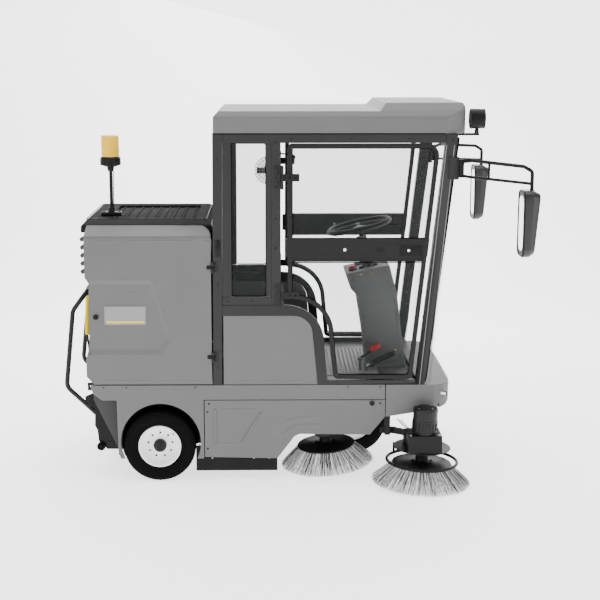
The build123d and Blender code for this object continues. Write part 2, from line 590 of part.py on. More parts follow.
def door_face(side, y, thickness, offsets):
    """Plate shaped like the door's outline, grown or shrunk; a second offset makes it a ring."""
    with BuildPart() as piece:
        with BuildSketch(side_plane(y)) as outline:
            with BuildLine():
                Polyline(*DOOR_LINE, close=True)
            make_face()
            for index, radius in DOOR_ROUNDS.items():
                corner = outline.vertices().sort_by_distance(Vector(*DOOR_LINE[index]))[0]
                fillet(corner, radius)
            offset(amount=offsets[0], mode=Mode.REPLACE)
            if len(offsets) > 1:
                offset(amount=offsets[1] - offsets[0], mode=Mode.SUBTRACT)
        extrude(amount=side * thickness)
    return piece.part


for name, side in SIDES.items():
    face = side * HALF_WIDTH
    ring = door_face(side, face, DOOR_DEPTH, (DOOR_TUBE / 2, -DOOR_TUBE / 2))
    rail = slab([(-32, 1203), (702, 1203), (711, 1297), (-32, 1297)], sided(side, 506, 525))
    lip = slab([(-5, 1177), (690, 1177), (693, 1203), (-5, 1203)], sided(side, 506, 516))
    straps = [moving_hinge(CAB_HINGE_X, side, z, 60, 42) for z in CAB_HINGE_Z]
    latch_hole = bar((640, side * 490, 1240), (640, side * 540, 1240), 12.1)
    spy_hole = bar((276, side * 490, 1240), (276, side * 540, 1240), 14)
    save(joined([ring, rail, lip, *straps], [latch_hole, spy_hole]), f"cab_door_{name}")
    pane = door_face(side, side * 513, 5, (-DOOR_TUBE / 2 - 0.5,))
    gap = block((-60, 760), sided(side, 500, 540), (1176.5, 1297.5))
    save(joined([pane], [gap]), f"door_glass_{name}")
    latch = joined([bar((640, side * 503, 1240), (640, side * 530, 1240), 12),
                    block((585, 650), sided(side, 495, 503), (1231, 1249)),
                    block((618, 662), sided(side, 526, 531), (1229, 1251))])
    save(latch, f"door_latch_{name}")

# ---------------------------------------------------------------- service doors
SERVICE_OUTLINE = [(-1027, 530), (-1066, 572), (-1066, 663), (-1048, 738), (-1044, 1065), (-1063, 1096),
                   (-1063, 1352), (-409, 1352), (-409, 530)]
for name, side in SIDES.items():
    with BuildPart() as shell:
        with BuildSketch(cross_plane(-1100)):
            with BuildLine():
                Polyline((side * 525, 529), (side * 525, 1300), (side * 519, 1312), (side * 392, 1352),
                         (side * 392, 1330), (side * 500, 1296), (side * 500, 529), close=True)
            make_face()
        extrude(amount=720)
    flat = slab(SERVICE_OUTLINE, (-530, 530), {7: 70})
    recess = slab([(-1100, 1086), (-710, 1085), (-613, 763), (-676, 689), (-1100, 690)],
                  sided(side, HALF_WIDTH - 8, HALF_WIDTH + 2), {1: 20, 2: 20, 3: 15})
    straps = [moving_hinge(SERVICE_HINGE_X, side, z, 28, SERVICE_HINGE_X - 28) for z in SERVICE_HINGE_Z]
    pads = [block((-433, -410), sided(side, HALF_WIDTH - 1, HALF_WIDTH + 1.5), (z - 8, z + 8))
            for z in SERVICE_HINGE_Z]
    save(joined([joined([common(shell.part, flat)], [recess]), *straps, *pads]), f"service_door_{name}")
save(block((-966, -751), (-521, -517), (848, 946)), "blank_badge")

# ---------------------------------------------------------------- main brush roller
save(joined([bar((-250, -330, 152), (-250, 330, 152), 298), bar((-250, -352, 152), (-250, 352, 152), 40)]),
     "main_roller")

# ---------------------------------------------------------------- side brushes


def brush_head(tip_centre, direction, tip_radius, drop):
    """Round brush: a hub and plate above a ring of bristles that flares to the floor."""
    profile = [(8.05, drop - 4), (40, drop - 4), (tip_radius - 60, 2), (tip_radius, 0), (tip_radius, 4),
               (155, drop - 4), (155, drop + 6), (60, drop + 14), (32, drop + 18), (32, drop + 50), (8.05,
                                                                                                     drop + 50)]
    return turned(profile, tip_centre, direction)


FRONT_TILT = math.radians(2)
FRONT_AXIS = (math.sin(FRONT_TILT), 0, math.cos(FRONT_TILT))
FRONT_TIPS = (685, -566, 10.5)
FRONT_TIP_RADIUS = 261
MID_PITCH, MID_ROLL = math.radians(5), math.radians(2)
MID_AXIS = (-math.sin(MID_PITCH), -math.sin(MID_ROLL), math.cos(MID_PITCH) * math.cos(MID_ROLL))
MID_TIPS = (202, -362, 56)
MID_TIP_RADIUS = 250
BRUSH_DROP = 100


save(brush_head(FRONT_TIPS, FRONT_AXIS, FRONT_TIP_RADIUS, BRUSH_DROP), "front_brush_head")
save(brush_head(MID_TIPS, MID_AXIS, MID_TIP_RADIUS, BRUSH_DROP), "mid_brush_head")

guard_plane = Plane(origin=along(FRONT_TIPS, FRONT_AXIS, 115), z_dir=FRONT_AXIS)
with BuildPart() as guard_ring:
    Torus(184, 8)
front_arm = [guard_ring.part.moved(guard_plane.location),
             joined([turned([(0, 0), (150, 0), (150, 6), (0, 6)], (694, -525, 184), FRONT_AXIS),
                     block((606, 782), (-665, -505), (192, 284)),
                     turned([(0, 0), (64, 0), (64, 134), (58, 138), (0, 138)], (697, -594, 283), FRONT_AXIS),
                     block((600, 700), (-530, -460), (190, 240)),
                     bar((553, -447, 132), (553, -447, 188), 12), bar((827, -455, 122), (827, -455, 180), 12),
                     bar(along(FRONT_TIPS, FRONT_AXIS, 108), along(FRONT_TIPS, FRONT_AXIS, 200), 16),
                     block((478, 560), (-461, -439), (BRUSH_BRACKET_Z - 16, BRUSH_BRACKET_Z + 16)),
                     bar((550, -450, BRUSH_BRACKET_Z - 1), (640, -496, BRUSH_BRACKET_Z - 6), 22, 32),
                     bar((BRUSH_BRACKET_X, -468, BRUSH_BRACKET_Z), (BRUSH_BRACKET_X, -436,
                                                                    BRUSH_BRACKET_Z), 34)],
                    [bar((BRUSH_BRACKET_X, -490, BRUSH_BRACKET_Z), (BRUSH_BRACKET_X, -410, BRUSH_BRACKET_Z),
                         2 * (BRUSH_PIN_RADIUS + RUNNING_CLEARANCE))])]
save(joined(front_arm), "front_brush_arm")
mid_arm = joined([bar(along(MID_TIPS, MID_AXIS, 108), along(MID_TIPS, MID_AXIS, 160), 16),
                  bar(along(MID_TIPS, MID_AXIS, 158), along(MID_TIPS, MID_AXIS, 300), 116),
                  bar((MID_ARM_X, -332, MID_ARM_Z), (180, -352, 330), 34, 24),
                  bar((MID_ARM_X, -316, MID_ARM_Z), (MID_ARM_X, -346, MID_ARM_Z), 36)],
                 [bar((MID_ARM_X, -300, MID_ARM_Z), (MID_ARM_X, -380, MID_ARM_Z),
                      2 * (8 + RUNNING_CLEARANCE))])
save(mid_arm, "mid_brush_arm")

# ---------------------------------------------------------------- waste container with its push handle
CONTAINER_HALF = 350
container_outer = slab([(-1049, 430), (-1055, 258), (-1042, 231), (-1036, 169), (-990, 124), (-560, 124),
                        (-520, 180), (-520, 430)], (-CONTAINER_HALF, CONTAINER_HALF))
container_inner = slab([(-1043, 424), (-1049, 259), (-1036, 232), (-1030, 172), (-987, 130), (-563, 130),
                        (-526, 182), (-510, 240), (-510, 424)], (-CONTAINER_HALF + 6, CONTAINER_HALF - 6))
roller_mounts = []
for side in SIDES.values():
    roller_mounts.append(slab([(-1050, 440), (-1104, 416), (-1104, 392), (-1050, 345)], sided(side, 330,
                                                                                              342)))
    roller_mounts.append(block((-1034, -1012), sided(side, 334, 340), (128, 175)))
ROLLER_CENTRE = (-1022, 143)
pins = [bar((ROLLER_CENTRE[0], side * 340, ROLLER_CENTRE[1]), (ROLLER_CENTRE[0], side * 368,
                                                               ROLLER_CENTRE[1]), 10)
        for side in SIDES.values()]
save(joined([joined([container_outer], [container_inner]), *roller_mounts, *pins]), "waste_container")
rollers = [turned([(5.05, side * 352), (23, side * 352), (23, side * 366), (5.05, side * 366)],
                  (ROLLER_CENTRE[0], 0, ROLLER_CENTRE[1]), (0, 1, 0)) for side in SIDES.values()]
group(rollers, "container_rollers")
HANDLE_Y = 320
handle = bent_tube([(-1049, -HANDLE_Y, 318), (-1204, -HANDLE_Y, 467), (-1159, -HANDLE_Y, 883),
                    (-1084, -HANDLE_Y, 985), (-1084, HANDLE_Y, 985), (-1159, HANDLE_Y, 883),
                    (-1204, HANDLE_Y, 467), (-1049, HANDLE_Y, 318)], 25, 60)
save(handle, "container_handle")
lever = joined([bar((LEVER_PIVOT[0], LEVER_Y - 20, LEVER_PIVOT[1]), (LEVER_PIVOT[0], LEVER_Y + 20,
                                                                     LEVER_PIVOT[1]), 12),
                bar((LEVER_PIVOT[0], LEVER_Y - 13, LEVER_PIVOT[1]), (LEVER_PIVOT[0], LEVER_Y + 13,
                                                                     LEVER_PIVOT[1]), 26),
                bar((LEVER_PIVOT[0], LEVER_Y, LEVER_PIVOT[1]), (-1103, LEVER_Y, 730), 12),
                bar((-1103, LEVER_Y, 728), (-1096, LEVER_Y, 941), 22)])
save(lever, "release_lever")

# ---------------------------------------------------------------- mirrors and work lights
MIRROR_PIVOT = (862, 545)
MIRROR_END = (1180, 747)
MIRROR_TUBE = 18                # upper arm of each mirror
MIRROR_STRUT = 15               # lower arm
MIRROR_WIDTH, MIRROR_HEIGHT, MIRROR_CORNER = 160, 330, 45
MIRROR_FACE_X, MIRROR_MIDDLE_Z = 1136, 1405
for name, side in SIDES.items():
    px, py = MIRROR_PIVOT[0], side * MIRROR_PIVOT[1]
    ex, ey = MIRROR_END[0], side * MIRROR_END[1]
    arm = joined([bar((px, py, 1612), (px, py, 1703), 26),
                  bent_tube([(px, py, 1692), (905, side * 600, 1702), (1140, side * 740, 1684), (ex, ey,
                                                                                                 1660),
                             (ex, ey, 1552)], MIRROR_TUBE, 22),
                  bent_tube([(px, py, 1622), (900, side * 590, 1619), (ex, ey, 1600)], MIRROR_STRUT, 30),
                  bar((985, side * 642, 1612), (985, side * 642, 1700), 12)],
                 [bar((px, py, 1590), (px, py, 1720), 2 * (6 + RUNNING_CLEARANCE))])
    save(arm, f"mirror_arm_{name}")
    with BuildPart() as mirror_head:
        with BuildSketch(Plane(origin=(MIRROR_FACE_X, side * MIRROR_END[1], MIRROR_MIDDLE_Z), x_dir=(0, 1,
                                                                                                     0), z_dir=(1, 0, 0))):
            RectangleRounded(MIRROR_WIDTH, MIRROR_HEIGHT, MIRROR_CORNER)
        extrude(amount=MIRROR_END[0] - MIRROR_FACE_X)
        with BuildSketch(Plane(origin=(MIRROR_END[0], side * MIRROR_END[1], MIRROR_MIDDLE_Z), x_dir=(0, 1,
                                                                                                     0), z_dir=(1, 0, 0))):
            RectangleRounded(MIRROR_WIDTH, MIRROR_HEIGHT, MIRROR_CORNER)
        extrude(amount=34, taper=24)
    socket = bar((ex, ey, 1540), (ex, ey, 1590), MIRROR_TUBE + 2 * RUNNING_CLEARANCE)
    save(joined([mirror_head.part], [socket]), f"mirror_head_{name}")
    light = joined([bar((918, side * 420, 1902), (988, side * 420, 1902), 100),
                    block((946, 962), sided(side, 411, 429), (LIGHT_PIVOT_Z, 1870)),
                    bar((954, side * 411, LIGHT_PIVOT_Z), (954, side * 429, LIGHT_PIVOT_Z), 16)],
                   [bar((954, side * 400, LIGHT_PIVOT_Z), (954, side * 440, LIGHT_PIVOT_Z),
                        2 * (4 + RUNNING_CLEARANCE))])
    save(light, f"work_light_{name}")

# ---------------------------------------------------------------- windscreen wiper
wiper = joined([bar(WIPER_PIVOT, along(WIPER_PIVOT, WIPER_NORMAL, 22), 34),
                bar(along(WIPER_PIVOT, WIPER_NORMAL, -20), along(WIPER_PIVOT, WIPER_NORMAL, 6),
                    2 * SPINDLE_RADIUS),
                bar(along((757, -60, 790), WIPER_NORMAL, 18), along((794, -60, 1155), WIPER_NORMAL, 18),
                    12, 8),
                bar(along((781, -60, 900), WIPER_NORMAL, -2), along((815, -60, 1290), WIPER_NORMAL, -2),
                    8, 16)])
save(wiper, "wiper")
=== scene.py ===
"""Looks of the ride-on sweeper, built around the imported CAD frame. Metres, in the row frame."""
import json
import math
import random

import bmesh
import bpy
from mathutils import Matrix, Vector

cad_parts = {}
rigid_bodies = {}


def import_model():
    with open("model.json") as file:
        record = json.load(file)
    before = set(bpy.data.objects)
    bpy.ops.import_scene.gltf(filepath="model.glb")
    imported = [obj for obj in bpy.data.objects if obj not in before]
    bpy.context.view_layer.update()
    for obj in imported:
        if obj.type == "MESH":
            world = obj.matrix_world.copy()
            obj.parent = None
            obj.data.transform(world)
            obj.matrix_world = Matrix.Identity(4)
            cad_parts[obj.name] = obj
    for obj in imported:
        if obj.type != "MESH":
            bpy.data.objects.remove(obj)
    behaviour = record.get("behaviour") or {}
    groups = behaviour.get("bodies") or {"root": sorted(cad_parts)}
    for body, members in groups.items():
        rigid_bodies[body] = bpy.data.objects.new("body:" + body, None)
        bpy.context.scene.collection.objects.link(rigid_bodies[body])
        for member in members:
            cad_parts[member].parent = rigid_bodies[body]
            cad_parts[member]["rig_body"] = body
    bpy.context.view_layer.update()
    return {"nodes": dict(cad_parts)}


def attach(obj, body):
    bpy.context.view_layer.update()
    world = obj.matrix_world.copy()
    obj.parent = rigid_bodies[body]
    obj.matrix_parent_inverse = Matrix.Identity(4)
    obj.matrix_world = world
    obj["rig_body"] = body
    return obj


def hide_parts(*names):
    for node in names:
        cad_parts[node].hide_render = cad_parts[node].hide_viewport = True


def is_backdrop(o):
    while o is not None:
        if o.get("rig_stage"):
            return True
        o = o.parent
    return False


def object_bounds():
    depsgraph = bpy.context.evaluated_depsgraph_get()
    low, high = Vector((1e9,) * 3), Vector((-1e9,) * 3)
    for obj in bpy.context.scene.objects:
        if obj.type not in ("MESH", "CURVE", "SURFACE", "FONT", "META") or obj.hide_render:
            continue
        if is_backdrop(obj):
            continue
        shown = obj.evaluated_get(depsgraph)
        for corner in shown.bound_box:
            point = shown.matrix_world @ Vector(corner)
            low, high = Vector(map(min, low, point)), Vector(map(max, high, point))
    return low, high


random.seed(7)
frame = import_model()
NODES = frame["nodes"]
BODY_OF = {n: o["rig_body"] for n, o in NODES.items()}


# ------------------------------------------------------------------ camera, floor and light
camera_data = bpy.data.cameras.new("Camera")
camera_data.sensor_width = 36
camera_data.lens = 76.14
camera_data.shift_x = 0.03
camera = bpy.data.objects.new("Camera", camera_data)
bpy.context.scene.collection.objects.link(camera)
camera.location = (-0.126, -6.965, 2.217)
pitch, yaw = math.radians(10.884), math.radians(0.709)
forward = Vector((math.sin(yaw) * math.cos(pitch), math.cos(yaw) * math.cos(pitch), -math.sin(pitch)))
camera.rotation_mode = "QUATERNION"
camera.rotation_quaternion = forward.to_track_quat("-Z", "Y")
bpy.context.scene.camera = camera


def srgb(r, g=None, b=None):
    """Linear colour from 0-255 display values."""
    values = (r, r if g is None else g, r if b is None else b)
    return tuple((v / 255 / 12.92) if v / 255 <= 0.04045 else ((v / 255 + 0.055) / 1.055) ** 2.4 for v in values)


def node_material(name, color, rough, metal=0.0, alpha=1.0, coat=0.0, spec=0.5, ior=1.45):
    """Principled material whose constants sit on the shader's own sockets."""
    mat = bpy.data.materials.new(name)
    mat.use_nodes = True
    shader = mat.node_tree.nodes["Principled BSDF"]
    shader.inputs["Base Color"].default_value = (*color, 1)
    shader.inputs["Roughness"].default_value = rough
    shader.inputs["Metallic"].default_value = metal
    shader.inputs["Alpha"].default_value = alpha
    shader.inputs["Coat Weight"].default_value = coat
    shader.inputs["Coat Roughness"].default_value = 0.15
    shader.inputs["Specular IOR Level"].default_value = spec
    shader.inputs["IOR"].default_value = ior
    return mat


def grain(mat, scale, strength, distance=0.0006, detail=3.0, kind="noise"):
    """Fine surface grain as bump, in the object's own coordinates."""
    tree = mat.node_tree
    shader = tree.nodes["Principled BSDF"]
    coords = tree.nodes.new("ShaderNodeTexCoord")
    if kind == "voronoi":
        texture = tree.nodes.new("ShaderNodeTexVoronoi")
        texture.feature = "SMOOTH_F1"
        out = texture.outputs["Distance"]
    else:
        texture = tree.nodes.new("ShaderNodeTexNoise")
        texture.inputs["Detail"].default_value = detail
        out = texture.outputs["Fac"]
    texture.inputs["Scale"].default_value = scale
    bump = tree.nodes.new("ShaderNodeBump")
    bump.inputs["Strength"].default_value = strength
    bump.inputs["Distance"].default_value = distance
    tree.links.new(coords.outputs["Object"], texture.inputs["Vector"])
    tree.links.new(out, bump.inputs["Height"])
    tree.links.new(bump.outputs["Normal"], shader.inputs["Normal"])
    return mat


def mottle(mat, low, high, scale, rough=None, worn=None):
    """Slow colour variation between two tones; rough varies roughness and worn lightens the edges."""
    tree = mat.node_tree
    shader = tree.nodes["Principled BSDF"]
    coords = tree.nodes.new("ShaderNodeTexCoord")
    noise = tree.nodes.new("ShaderNodeTexNoise")
    noise.inputs["Scale"].default_value = scale
    noise.inputs["Detail"].default_value = 5
    ramp = tree.nodes.new("ShaderNodeValToRGB")
    ramp.color_ramp.elements[0].position = 0.35
    ramp.color_ramp.elements[1].position = 0.65
    ramp.color_ramp.elements[0].color = (*low, 1)
    ramp.color_ramp.elements[1].color = (*high, 1)
    tree.links.new(coords.outputs["Object"], noise.inputs["Vector"])
    tree.links.new(noise.outputs["Fac"], ramp.inputs["Fac"])
    color = ramp.outputs["Color"]
    if worn is not None:
        geometry = tree.nodes.new("ShaderNodeNewGeometry")
        edge = tree.nodes.new("ShaderNodeValToRGB")
        edge.color_ramp.elements[0].position = 0.52
        edge.color_ramp.elements[1].position = 0.62
        mix = tree.nodes.new("ShaderNodeMix")
        mix.data_type = "RGBA"
        mix.inputs["B"].default_value = (*worn, 1)
        scaled = tree.nodes.new("ShaderNodeMath")
        scaled.operation = "MULTIPLY"
        scaled.inputs[1].default_value = 0.5
        tree.links.new(geometry.outputs["Pointiness"], edge.inputs["Fac"])
        tree.links.new(edge.outputs["Color"], scaled.inputs[0])
        tree.links.new(scaled.outputs["Value"], mix.inputs["Factor"])
        tree.links.new(color, mix.inputs["A"])
        color = mix.outputs["Result"]
    tree.links.new(color, shader.inputs["Base Color"])
    if rough is not None:
        spread = tree.nodes.new("ShaderNodeMapRange")
        spread.inputs["To Min"].default_value = rough[0]
        spread.inputs["To Max"].default_value = rough[1]
        tree.links.new(noise.outputs["Fac"], spread.inputs["Value"])
        tree.links.new(spread.outputs["Result"], shader.inputs["Roughness"])
    return mat


def finish_of(name, tone, rough, scale=6, contrast=0.06, peel=(700, 0.08, 0.0004), worn=None, **extra):
    """Painted or moulded finish: slow tone variation, roughness variation and fine grain."""
    mat = node_material(name, tone, rough, **extra)
    low = tuple(c * (1 - contrast) for c in tone)
    high = tuple(min(1, c * (1 + contrast)) for c in tone)
    mottle(mat, low, high, scale, (rough - 0.05, rough + 0.06), worn)
    return grain(mat, *peel)


BODY = finish_of("body_paint", srgb(95), 0.55, contrast=0.025, peel=(520, 0.10, 0.0005), spec=0.35)
# Darker copy of the body paint: painted shade, for the recessed plate behind the rear cut-out and the rear louvres.
BODY_PAINT_SHADED = finish_of("body_paint_painted_shade", srgb(58), 0.6, contrast=0.05, peel=(520, 0.10, 0.0005), spec=0.25)
FRAME = finish_of("frame_powder_coat", srgb(33), 0.45, contrast=0.06, peel=(900, 0.14, 0.0004), worn=srgb(62),
                  spec=0.22)
DOOR = finish_of("door_powder_coat", srgb(28), 0.44, contrast=0.06, peel=(900, 0.14, 0.0004), worn=srgb(56),
                 spec=0.2)
BLACK = finish_of("black_plastic", srgb(14), 0.46, contrast=0.08, peel=(1100, 0.22, 0.0004), worn=srgb(34), spec=0.2)
DEEP = finish_of("deep_black", srgb(8), 0.75, contrast=0.08, peel=(1100, 0.22, 0.0004), spec=0.08)
# Mid-grey with almost no specular for the hood's upward faces, grille and ribs: the sheen of the black hood seen from
# above, painted into the colour.
HOOD_TOP_SHEEN = finish_of("hood_black_painted_sheen", srgb(56), 0.8, contrast=0.08, peel=(1100, 0.22, 0.0004), spec=0.02, ior=1.1)
SHELL = finish_of("mirror_shell", srgb(38), 0.34, contrast=0.06, peel=(900, 0.12, 0.0003), spec=0.45)
# Light grey for the strips down the windscreen pillars: painted highlights on the pillars' rounded edges.
PILLAR_HIGHLIGHT = finish_of("pillar_painted_highlight", srgb(120), 0.35, contrast=0.05, spec=0.4)
MOTOR = finish_of("motor_paint", srgb(12), 0.38, contrast=0.08, peel=(900, 0.15, 0.0003), spec=0.3)
CONSOLE = finish_of("console_plastic", srgb(100), 0.66, contrast=0.22, scale=260, peel=(900, 0.8, 0.0009), spec=0.2)
LIGHT_GREY = finish_of("light_grey_plastic", srgb(140), 0.55, contrast=0.03, spec=0.3)
RUBBER = finish_of("tyre_rubber", srgb(11), 0.85, contrast=0.12, scale=18, peel=(420, 0.35, 0.0006), spec=0.08)
SKIRT = finish_of("skirt_rubber", srgb(28), 0.75, contrast=0.08, peel=(260, 0.25, 0.0008), spec=0.12)
RIM = finish_of("rim_white", srgb(252), 0.4, contrast=0.01, worn=srgb(254))
STEEL = finish_of("zinc_steel", srgb(150), 0.36, metal=1.0, contrast=0.10, scale=60, peel=(1400, 0.12, 0.0002))
DARK_STEEL = finish_of("dark_steel", srgb(30), 0.42, metal=0.4, contrast=0.10, scale=40, peel=(900, 0.15, 0.0003),
                       spec=0.25)
YELLOW = finish_of("yellow_plastic", srgb(236, 208, 4), 0.42, contrast=0.04, spec=0.3)
RED = finish_of("red_plastic", srgb(200, 10, 22), 0.36, contrast=0.05, spec=0.3)
BADGE = finish_of("blank_plate", srgb(138), 0.45, contrast=0.02, spec=0.3)
MARKER = finish_of("marker_lens", srgb(252), 0.2, contrast=0.01)
WHITE_BRISTLE = finish_of("bristle_white", srgb(242), 0.5, contrast=0.04, scale=90)
GREY_BRISTLE = finish_of("bristle_grey", srgb(150), 0.5, contrast=0.1, scale=90)
DARK_BRISTLE = finish_of("bristle_dark", srgb(26), 0.6, contrast=0.1, scale=90, spec=0.15)
BATTERY = finish_of("battery_case", srgb(34, 35, 40), 0.5, contrast=0.08, spec=0.2)
GLASS = grain(node_material("cab_glass", (0.05, 0.055, 0.055), 0.04, alpha=0.13, spec=0.3, ior=1.12), 3, 0.02, 0.001)
MIRROR = grain(node_material("mirror_glass", (0.72, 0.75, 0.78), 0.04, metal=1.0), 4, 0.02, 0.001)
LENS = grain(node_material("lamp_lens", (0.9, 0.92, 0.94), 0.06, alpha=0.35, coat=0.5), 240, 0.3, 0.0006,
             kind="voronoi")
AMBER = grain(node_material("amber_lens", srgb(236, 186, 0), 0.3, alpha=0.95, coat=0.2), 60, 0.06, 0.001)
AMBER_CORE = finish_of("amber_core", srgb(246, 180, 20), 0.4, contrast=0.06, scale=40)
TAIL = finish_of("tail_lamp", srgb(170, 8, 12), 0.2, contrast=0.06, scale=60, coat=0.3)


def vinyl(name, tone):
    """Seat covering with a fine leather grain."""
    mat = node_material(name, tone, 0.5, coat=0.08)
    mottle(mat, tuple(c * 0.8 for c in tone), tuple(c * 1.35 for c in tone), 40, (0.42, 0.58))
    return grain(mat, 420, 0.55, 0.0009, kind="voronoi")


VINYL = vinyl("seat_vinyl", srgb(34, 34, 36))
VINYL_SIDE = vinyl("seat_vinyl_side", srgb(26, 26, 28))

floor_mat = finish_of("floor", srgb(250), 0.8, contrast=0.003, scale=1.5, peel=(60, 0.02, 0.001), spec=0.1)
floor_glow = floor_mat.node_tree.nodes["Principled BSDF"]
floor_glow.inputs["Emission Color"].default_value = (1, 1, 1, 1)
floor_glow.inputs["Emission Strength"].default_value = 1.8
sweep = bmesh.new()
profile = [(-9.0, 0.0), (3.2, 0.0)]
for step in range(1, 13):
    a = math.radians(step * 7.5)
    profile.append((3.2 + 2.4 * math.sin(a), 2.4 - 2.4 * math.cos(a)))
profile.append((5.6, 8.0))
left = [sweep.verts.new((-11, y, z)) for y, z in profile]
right = [sweep.verts.new((11, y, z)) for y, z in profile]
for i in range(len(profile) - 1):
    sweep.faces.new((left[i], right[i], right[i + 1], left[i + 1]))
floor_mesh = bpy.data.meshes.new("Floor")
sweep.to_mesh(floor_mesh)
floor_mesh.materials.append(floor_mat)
floor_mesh.shade_smooth()
floor = bpy.data.objects.new("Floor", floor_mesh)
bpy.context.scene.collection.objects.link(floor)
floor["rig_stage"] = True

world = bpy.data.worlds.new("Studio")
bpy.context.scene.world = world
world.use_nodes = True
world.node_tree.nodes["Background"].inputs["Color"].default_value = (1.0, 1.0, 1.0, 1)
world.node_tree.nodes["Background"].inputs["Strength"].default_value = 0.55


def area_light(name, location, target, size, power):
    data = bpy.data.lights.new(name, "AREA")
    data.shape = "RECTANGLE"
    data.size, data.size_y = size
    data.energy = power
    light = bpy.data.objects.new(name, data)
    bpy.context.scene.collection.objects.link(light)
    light.location = location
    light.rotation_mode = "QUATERNION"
    light.rotation_quaternion = (Vector(target) - Vector(location)).to_track_quat("-Z", "Y")


area_light("Overhead", (-0.3, 0.3, 5.2), (-0.1, 0, 0.6), (5.0, 5.0), 330)
area_light("FrontLeft", (-4.2, -5.2, 3.2), (-0.3, 0, 0.9), (2.6, 3.0), 150)
area_light("FrontRight", (4.6, -4.2, 2.6), (0.2, 0, 0.8), (2.0, 3.0), 120)
area_light("Back", (0.5, 4.6, 3.2), (0, 2.9, 1.2), (5.0, 2.0), 120)


# ------------------------------------------------------------------ mesh helpers
def put(name, bm, mats, body, stands_for=(), angle=32):
    """Turn a bmesh into a finished piece that rides on a body."""
    bmesh.ops.recalc_face_normals(bm, faces=bm.faces)
    mesh = bpy.data.meshes.new(name)
    bm.to_mesh(mesh)
    bm.free()
    stale = mesh.attributes.get("custom_normal")
    if stale is not None:
        mesh.attributes.remove(stale)
    for mat in (mats if isinstance(mats, (list, tuple)) else [mats]):
        mesh.materials.append(mat)
    mesh.shade_smooth()
    mesh.set_sharp_from_angle(angle=math.radians(angle))
    obj = bpy.data.objects.new(name, mesh)
    bpy.context.scene.collection.objects.link(obj)
    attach(obj, body)
    if stands_for:
        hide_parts(*stands_for)
    return obj


def polished(node, mats, width=0.002, segments=2, pick=None, angle=28, dissolve=True):
    """New piece with the CAD node's shape and real rounded edges; pick gives a face's material index."""
    bm = bmesh.new()
    bm.from_mesh(NODES[node].data)
    bmesh.ops.remove_doubles(bm, verts=bm.verts, dist=2e-6)
    if dissolve:
        bmesh.ops.dissolve_limit(bm, angle_limit=math.radians(0.6), verts=bm.verts, edges=bm.edges)
    sharp = [e for e in bm.edges if len(e.link_faces) == 2 and e.calc_face_angle(0) > math.radians(angle)]
    if width > 0:
        short = [e for e in sharp if e.calc_length() > 0.3 * width]
        bmesh.ops.bevel(bm, geom=short, offset=width, offset_type="OFFSET", segments=segments, profile=0.6,
                        affect="EDGES", clamp_overlap=False, harden_normals=False)
    if pick:
        for face in bm.faces:
            face.material_index = pick(face.calc_center_median(), face.normal)
    obj = put(f"{node}_finished", bm, mats, BODY_OF[node], (node,), angle=34)
    weighted = obj.modifiers.new("Normals", "WEIGHTED_NORMAL")
    weighted.keep_sharp = True
    return obj


def mm(*values):
    return tuple(v / 1000 for v in values)


def placed(x, y, z, angle, axis):
    """Matrix standing at a point in millimetres and turned about one axis."""
    return Matrix.Translation(Vector(mm(x, y, z))) @ Matrix.Rotation(angle, 4, axis)


def circle(count):
    """Evenly spread angles of a full turn, in radians."""
    return [2 * math.pi * k / count for k in range(count)]


def add_box(bm, low, high, matrix=None, radius=0.0, segments=2):
    """Box between two corners in millimetres, with rounded edges, optionally turned by a matrix."""
    made = bmesh.ops.create_cube(bm, size=1)["verts"]
    size = Vector([(h - l) / 1000 for l, h in zip(low, high)])
    centre = Vector([(h + l) / 2000 for l, h in zip(low, high)])
    for v in made:
        v.co = Vector((v.co.x * size.x, v.co.y * size.y, v.co.z * size.z)) + centre
        if matrix is not None:
            v.co = matrix @ v.co
    if radius:
        edges = {e for v in made for e in v.link_edges}
        bmesh.ops.bevel(bm, geom=list(edges), offset=radius / 1000, offset_type="OFFSET", segments=segments,
                        profile=0.5, affect="EDGES", clamp_overlap=True, material=-1)


def basis(direction):
    """Two unit vectors square to a direction."""
    d = Vector(direction).normalized()
    other = Vector((0, 1, 0)) if abs(d.y) < 0.9 else Vector((1, 0, 0))
    u = other.cross(d).normalized()
    return u, d.cross(u)


def add_lathe(bm, profile, origin, direction, steps=48, index=0):
    """Turned ring from (radius, distance) points in millimetres."""
    o, d = Vector(origin) / 1000, Vector(direction).normalized()
    u, w = basis(d)
    rings = []
    for k in range(steps):
        a = 2 * math.pi * k / steps
        out = u * math.cos(a) + w * math.sin(a)
        rings.append([bm.verts.new(o + out * (max(r, 0.02) / 1000) + d * (h / 1000)) for r, h in profile])
    count = len(profile)
    for k in range(steps):
        here, there = rings[k], rings[(k + 1) % steps]
        for i in range(count):
            face = bm.faces.new((here[i], there[i], there[(i + 1) % count], here[(i + 1) % count]))
            face.material_index = index


def add_tube(bm, points, radius, steps=12, closed=False):
    """Round tube through points in millimetres."""
    pts = [Vector(p) / 1000 for p in points]
    rings = []
    last = None
    for i, p in enumerate(pts):
        before = pts[i - 1] if (i or closed) else pts[i]
        after = pts[(i + 1) % len(pts)] if (i < len(pts) - 1 or closed) else pts[i]
        d = (after - before).normalized()
        if last is None:
            u, w = basis(d)
        else:
            u = (last - d * last.dot(d)).normalized()
            w = d.cross(u)
        last = u
        rings.append([bm.verts.new(p + (u * math.cos(2 * math.pi * k / steps) + w * math.sin(2 * math.pi * k / steps))
                                   * radius / 1000) for k in range(steps)])
    count = len(rings)
    for i in range(count if closed else count - 1):
        a, b = rings[i], rings[(i + 1) % count]
        shift = 0
        if closed and i == count - 1:
            shift = min(range(steps), key=lambda s: (a[0].co - b[s].co).length)
        for k in range(steps):
            bm.faces.new((a[k], a[(k + 1) % steps], b[(k + 1 + shift) % steps], b[(k + shift) % steps]))
    if not closed:
        bm.faces.new(rings[0])
        bm.faces.new(rings[-1])


